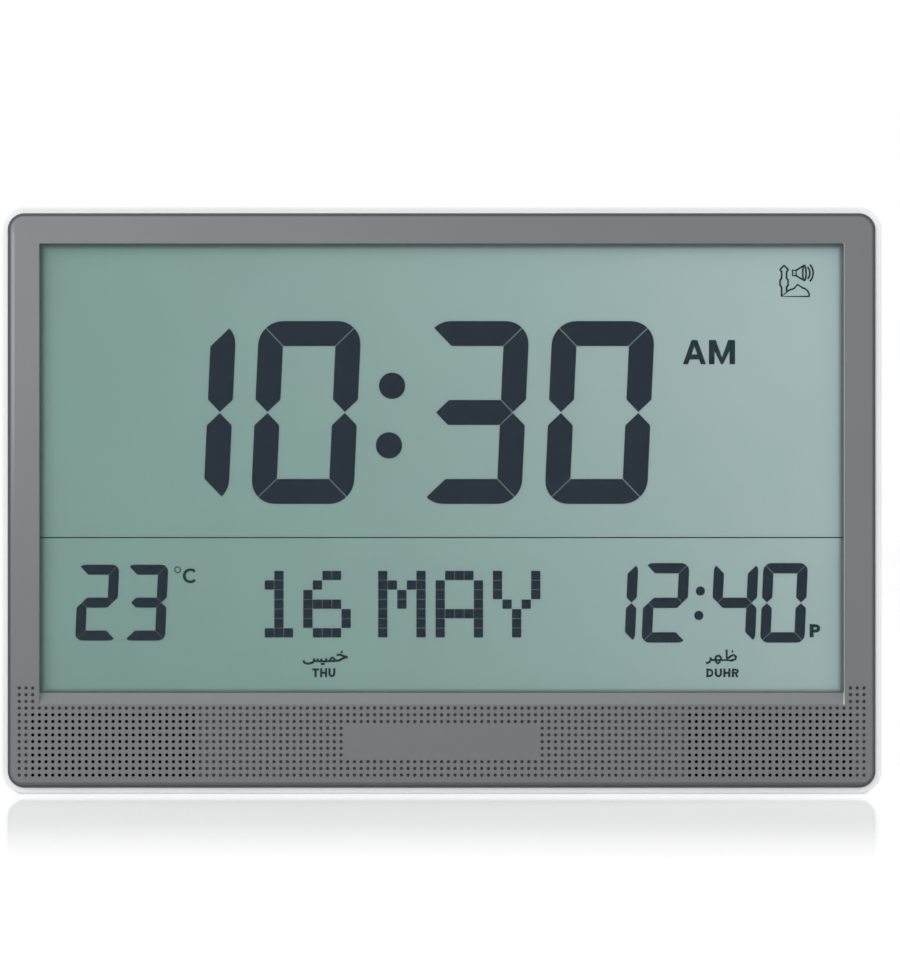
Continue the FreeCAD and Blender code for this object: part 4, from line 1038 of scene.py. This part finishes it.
makeSign("prayerArabic", [
    ([(726.6, 660.1), (731.4, 660.5), (735.3, 659), (736, 656.7), (734, 655), (731.2, 655.7),
      (728.6, 657.7)], True),
    ([(726.5, 649.5), (726.7, 660.1), (715.1, 660)], False),
    ([(731.5, 651.4), (733.2, 651.4)], False),
    ([(720.7, 659.9), (721, 657.6), (718.8, 655.4), (716.2, 656.3), (715.2, 658.5), (716.9, 660.1)], True),
    ([(716.9, 660.1), (715.9, 661.9), (717.5, 663.6), (719.7, 662), (719.1, 660.1)], True),
    ([(715.4, 660), (711.5, 659.9), (710, 657.4)], False),
    ([(710.6, 658.5), (710.5, 660.5), (709, 662.2), (705.9, 663.2)], False),
], display["arabicStroke"])
makeSign("degreeRing", [(dialArc(177.7, 569.7, 2.9, 0, 342, 19), True)], 0.45)
makeSign("displayDivider", [([(40, 537.5), (843.4, 537.5)], False)], 0.5)
# A plain tower, a hill line and a horn: the call to prayer is switched on.
makeSign("callSign", [
    ([(781.5, 296.5), (781.5, 287), (780, 285.5), (780, 280), (781.5, 278.5), (781.5, 271.5), (779.8, 270),
      (781.5, 268), (784, 265.5), (786.5, 268), (788.2, 270), (786.5, 271.5), (786.5, 278.5), (788, 280),
      (788, 285.5), (786.5, 287), (786.5, 291.5)], False),
    ([(781.5, 296.5), (809, 296.5)] + dialArc(801, 296, 8.2, 4, 78, 6)
     + [(797.5, 284.5), (794, 288.5), (788.5, 290.5), (781.5, 296.5)], True),
    ([(792.5, 270.3), (796, 270.3), (796, 275.7), (792.5, 275.7)], True),
    ([(796, 270.3), (804.3, 265.4)], False), ([(796, 275.7), (804.3, 280.6)], False),
    ([(804.3 + 1.7 * math.cos(turn / 3), 273 + 7.6 * math.sin(turn / 3)) for turn in range(19)], True),
    (dialArc(801, 273, 8.8, -42, 42), False),
    (dialArc(800.5, 273, 12.6, -42, 42), False),
], display["signStroke"])
print("display ready")


# Back of the clock

back = {
    "skin": 16, "housingEase": 0.35, "keyEase": 0.18, "keyTop": 15.6, "print": 0.03, "signWidth": 0.36,
}

grips = {
    "deep": 0.5, "tall": 0.7, "pitch": 1.7, "ease": 0.15, "arrowZ": 131, "arrowRadius": 2.6,
    "door": {"face": 15.8, "half": 9, "low": 136, "count": 5},
    "stand": {"face": 15.7, "half": 16, "low": 27, "count": 4},
}

screw = {"x": 174.8, "z": (48, 232), "top": 8, "long": 3.6, "wide": 0.85, "deep": 1.1, "ease": 0.2}

knob = {"pitch": 0.9, "wide": 0.3, "deep": 0.35, "half": 3, "ease": 0.1}


def middleOf(name):
    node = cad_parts[name]
    corners = [node.matrix_world @ Vector(corner) / mm for corner in node.bound_box]
    return sum(corners, Vector()) / 8


def merged(node, name):
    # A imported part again, with the triangles of its flat faces joined.
    piece = copyOf(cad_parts[node], name)
    weld(piece, 0.002)
    reshaped(piece, bpy.ops.mesh.dissolve_limited, angle_limit=math.radians(0.3))
    return piece


def eased(piece, width):
    # Small rounds on the sharp edges, shaded smooth, with the flat faces beside them kept flat.
    applied(
        piece, "BEVEL", width=width * mm, segments=2, limit_method="ANGLE", angle_limit=math.radians(40),
        use_clamp_overlap=True,
    )
    smooth(piece, 35)
    return applied(piece, "WEIGHTED_NORMAL", keep_sharp=True)


def carved(piece, cutter):
    applied(piece, "BOOLEAN", operation="DIFFERENCE", object=cutter, solver="EXACT")
    discard(cutter)


def grooved(piece, middle, half, face, low, count):
    # Grip grooves across a face, one above the other.
    for index in range(count):
        base = low + index * grips["pitch"]
        groove = box("groove", (middle - half, middle + half), (face - grips["deep"], face + 1),
                     (base, base + grips["tall"]))
        carved(piece, groove)


def rod(name, radius, long, middle, sides, turn):
    # A round bar, or a prism where it has few sides, turned about its middle.
    deselectAll()
    bpy.ops.mesh.primitive_cylinder_add(
        vertices=sides, radius=radius * mm, depth=long * mm, location=[value * mm for value in middle],
        rotation=[math.radians(angle) for angle in turn],
    )
    bpy.ops.object.transform_apply()
    return named(bpy.context.object, name)


def makeHousing():
    shell = eased(merged("rear_housing", "rearShell"), back["housingEase"])
    dressed(shell, "case", whiteCase, "white_case", "rear_housing")


def makeDoor():
    # An arrow pressed into the door points the way that it swings down, with grip grooves above.
    door = merged("battery_door", "doorCover")
    x = middleOf("battery_door").x
    floor, outside = grips["door"]["face"] - grips["deep"], back["skin"] + 1
    middle = (x, (floor + outside) / 2, grips["arrowZ"])
    carved(door, rod("arrow", grips["arrowRadius"], outside - floor, middle, 3, (-90, 0, 0)))
    grooved(door, x, **grips["door"])
    dressed(eased(door, grips["ease"]), "door", whiteCase, "white_case", "battery_door")


def makeStand():
    leg = merged("stand", "standLeg")
    grooved(leg, 0, **grips["stand"])
    dressed(eased(leg, grips["ease"]), "stand", whiteCase, "white_case", "stand")


def makeCells():
    # Three round cells one above the other, the middle one turned end for end.
    middle = middleOf("battery_cells")
    half = (cells["long"] + cells["nub"]) / 2
    root = cells["nubRoot"]
    pieces = []
    for index in (-1, 0, 1):
        way = -1 if index == 0 else 1
        z = middle.z + index * cells["pitch"]
        canX, nubX = middle.x - way * cells["nub"] / 2, middle.x + way * (half - root / 2)
        can = rod("can", cells["radius"], cells["long"], (canX, middle.y, z), cells["sides"], (0, 90, 0))
        nub = rod("nub", cells["nubRadius"], root, (nubX, middle.y, z), cells["sides"], (0, 90, 0))
        pieces += [eased(can, cells["ease"]), eased(nub, cells["nubEase"])]
    dressed(joined("wrappedCells", pieces), "case", cellWrap, "cell_wrap", "battery_cells")


# Lines of the signs on the keys, as seen from behind.
keySigns = {
    "set": [(arc(0, 0, 1.05, 1.05, 0, 345, 20), True)] + [
        ([(near * math.cos(turn), near * math.sin(turn)) for near in (1.05, 1.85)], False)
        for turn in [math.radians(45 * step) for step in range(8)]],
    "mode": [([(-1.7, level), (1.7, level)], False) for level in (-1.2, 0, 1.2)],
    "city": [(arc(0, 0, 1.8, 1.8, 0, 345, 24), True), (arc(0, 0, 0.8, 1.8, 0, 345, 20), True),
             ([(-1.8, 0), (1.8, 0)], False)],
    "prayer": [
        ([(-1.6, -1.7), (-1.6, 0.2), (-1.2, 0.9), (0, 1.9), (1.2, 0.9), (1.6, 0.2), (1.6, -1.7)], True)],
    "alarm": [([(-1.8, -1.1), (-1.25, -0.5), (-1.15, 0.5)] + arc(0, 0.5, 1.15, 1.15, 180, 0, 10)
               + [(1.25, -0.5), (1.8, -1.1)], True), (arc(0, -1.15, 0.6, 0.6, 200, 340), False)],
    "volume": [([(-2, 0.55), (-1.2, 0.55), (-0.2, 1.5), (-0.2, -1.5), (-1.2, -0.55), (-2, -0.55)], True),
               (arc(0, 0, 0.9, 0.9, -50, 50), False), (arc(0, 0, 1.8, 1.8, -50, 50), False)],
    "up": [([(-1.7, -1), (1.7, -1), (0, 1.3)], True)],
    "down": [([(-1.7, 1), (1.7, 1), (0, -1.3)], True)],
}


def makeKey(key):
    node = f"{key}_key"
    cap = eased(merged(node, f"{key}Cap"), back["keyEase"])
    dressed(cap, node, keyGrey, "key_grey", node)
    middle = middleOf(node)
    lines = [([(-x, z) for x, z in points], closed) for points, closed in keySigns[key]]
    sign = drawn(f"{key}Sign", lines, back["signWidth"])
    flatten(sign, back["keyTop"] - 0.01, back["keyTop"] + back["print"])  # sunk a little into the key
    moved(sign, x=middle.x, z=middle.z)
    dressed(sign, node, keyPrint, "white_case")


def makeScrews():
    # Pan heads with a cross recess.
    screws = merged("case_screws", "caseScrewHeads")
    long, wide = screw["long"] / 2, screw["wide"] / 2
    depth = (screw["top"] - screw["deep"], screw["top"] + 1)
    for x in (-screw["x"], screw["x"]):
        for z in screw["z"]:
            for halfX, halfZ in ((long, wide), (wide, long)):
                carved(screws, box("slot", (x - halfX, x + halfX), depth, (z - halfZ, z + halfZ)))
    dressed(eased(screws, screw["ease"]), "case", steel, "steel", "case_screws")


def makeKnob():
    # Three upright grooves in the face of the switch.
    grip = merged("switch_knob", "knobGrip")
    middle = middleOf("switch_knob")
    for index in (-1, 0, 1):
        left = middle.x + index * knob["pitch"] - knob["wide"] / 2
        depth = (back["keyTop"] - knob["deep"], back["keyTop"] + 1)
        up = (middle.z - knob["half"], middle.z + knob["half"])
        carved(grip, box("groove", (left, left + knob["wide"]), depth, up))
    dressed(eased(grip, knob["ease"]), "switch", blackAbs, "black_abs", "switch_knob")


makeHousing()
makeDoor()
makeStand()
makeCells()
for key in keySigns:
    makeKey(key)
makeScrews()
makeKnob()
print("back ready")


# Stage

view = {"place": (0.00349, -4.016, 0.13156), "lens": 385, "sensor": 36}
light = {
    "facing": (0.1, 0.9, 0.86, 0.985), "behind": (0.05, 0.6), "fromAbove": (-0.1, 0.9, 0.62, 0.24),
    "dim": 0.03, "aim": (0, 0, 0.12),
    "left": {"place": (-2.2, -2.4, 2), "size": 1.6, "power": 28},
    "back": {"place": (1.8, 1.9, 2.3), "size": 0.9, "power": 9},
}
ground = {
    "size": 30, "glow": (0, 420, 0.45, 0.2), "farGlow": (900, 3000, 0, 0.08),
    "mirror": (60, 860, 0.37, 0), "mirrorFront": (40, 0), "mirrorRough": 0.05,
}


def makeFloor():
    # White floor that mirrors the clock softly in front of it; only the view sees its glow.
    deselectAll()
    bpy.ops.mesh.primitive_plane_add(size=ground["size"], location=(0, 0, 0))
    floor = named(bpy.context.object, "floor")
    finish = Finish("floorFinish", Roughness=0.9)
    cloud = finish.noise(400, 2)
    finish.feed(Base_Color=finish.mix(cloud, (0.89, 0.89, 0.89, 1), (0.87, 0.87, 0.87, 1)))
    depth = abs(finish.y)
    glow = depth.span(*ground["glow"]) + depth.span(*ground["farGlow"])
    bright = finish.node("Emission", inputs={"Color": white, "Strength": glow})
    mirror = finish.node("BsdfGlossy", inputs={"Color": white, "Roughness": ground["mirrorRough"]})
    fade = depth.span(*ground["mirror"]) * finish.y.span(*ground["mirrorFront"])
    base = finish.node("AddShader", inputs={0: finish.shader, 1: bright})
    lit = finish.blend(fade, base, mirror)
    seen = finish.ray("Camera") + finish.ray("Glossy")
    finish.show(finish.blend(seen, finish.shader, lit))
    floor.data.materials.append(finish.material)


def makeWorld():
    # Even light that is fuller from the front than from the sides, and falls from above at the back.
    scene.world = bpy.data.worlds.new("studio")
    nodes = Nodes(scene.world, "World")
    across, depth, up = nodes.axes(nodes.node("TexCoord", output="Generated"))
    facing = abs(depth).span(*light["facing"])
    behind = depth.span(*light["behind"]) * up.span(*light["fromAbove"])
    level = facing - behind - light["dim"]
    sky = nodes.node("Background", inputs={"Color": white, "Strength": level})
    clean = nodes.node("Background", inputs={"Color": white, "Strength": 1})
    seen = nodes.ray("Camera")
    for kind in ("Glossy", "Transmission"):
        seen = seen.math("MAXIMUM", nodes.ray(kind))
    nodes.show(nodes.blend(seen, sky, clean))


def makeLamp(name, place, size, power):
    data = bpy.data.lights.new(name, "AREA")
    data.shape = "RECTANGLE"
    data.size = data.size_y = size
    data.energy = power
    lamp = bpy.data.objects.new(name, data)
    scene.collection.objects.link(lamp)
    lamp.location = place
    lamp.rotation_euler = (Vector(light["aim"]) - Vector(place)).to_track_quat("-Z", "Y").to_euler()


def makeCamera():
    data = bpy.data.cameras.new("camera")
    data.type = "PERSP"
    data.sensor_fit = "HORIZONTAL"
    data.sensor_width = view["sensor"]
    data.lens = view["lens"]
    data.clip_end = 100
    camera = bpy.data.objects.new("camera", data)
    scene.collection.objects.link(camera)
    camera.location = view["place"]
    camera.rotation_euler = (math.pi / 2, 0, 0)
    scene.camera = camera


makeFloor()
makeWorld()
makeLamp("keyLeft", **light["left"])
makeLamp("keyBack", **light["back"])
makeCamera()
scene.view_settings.view_transform = "Standard"
print("stage ready")
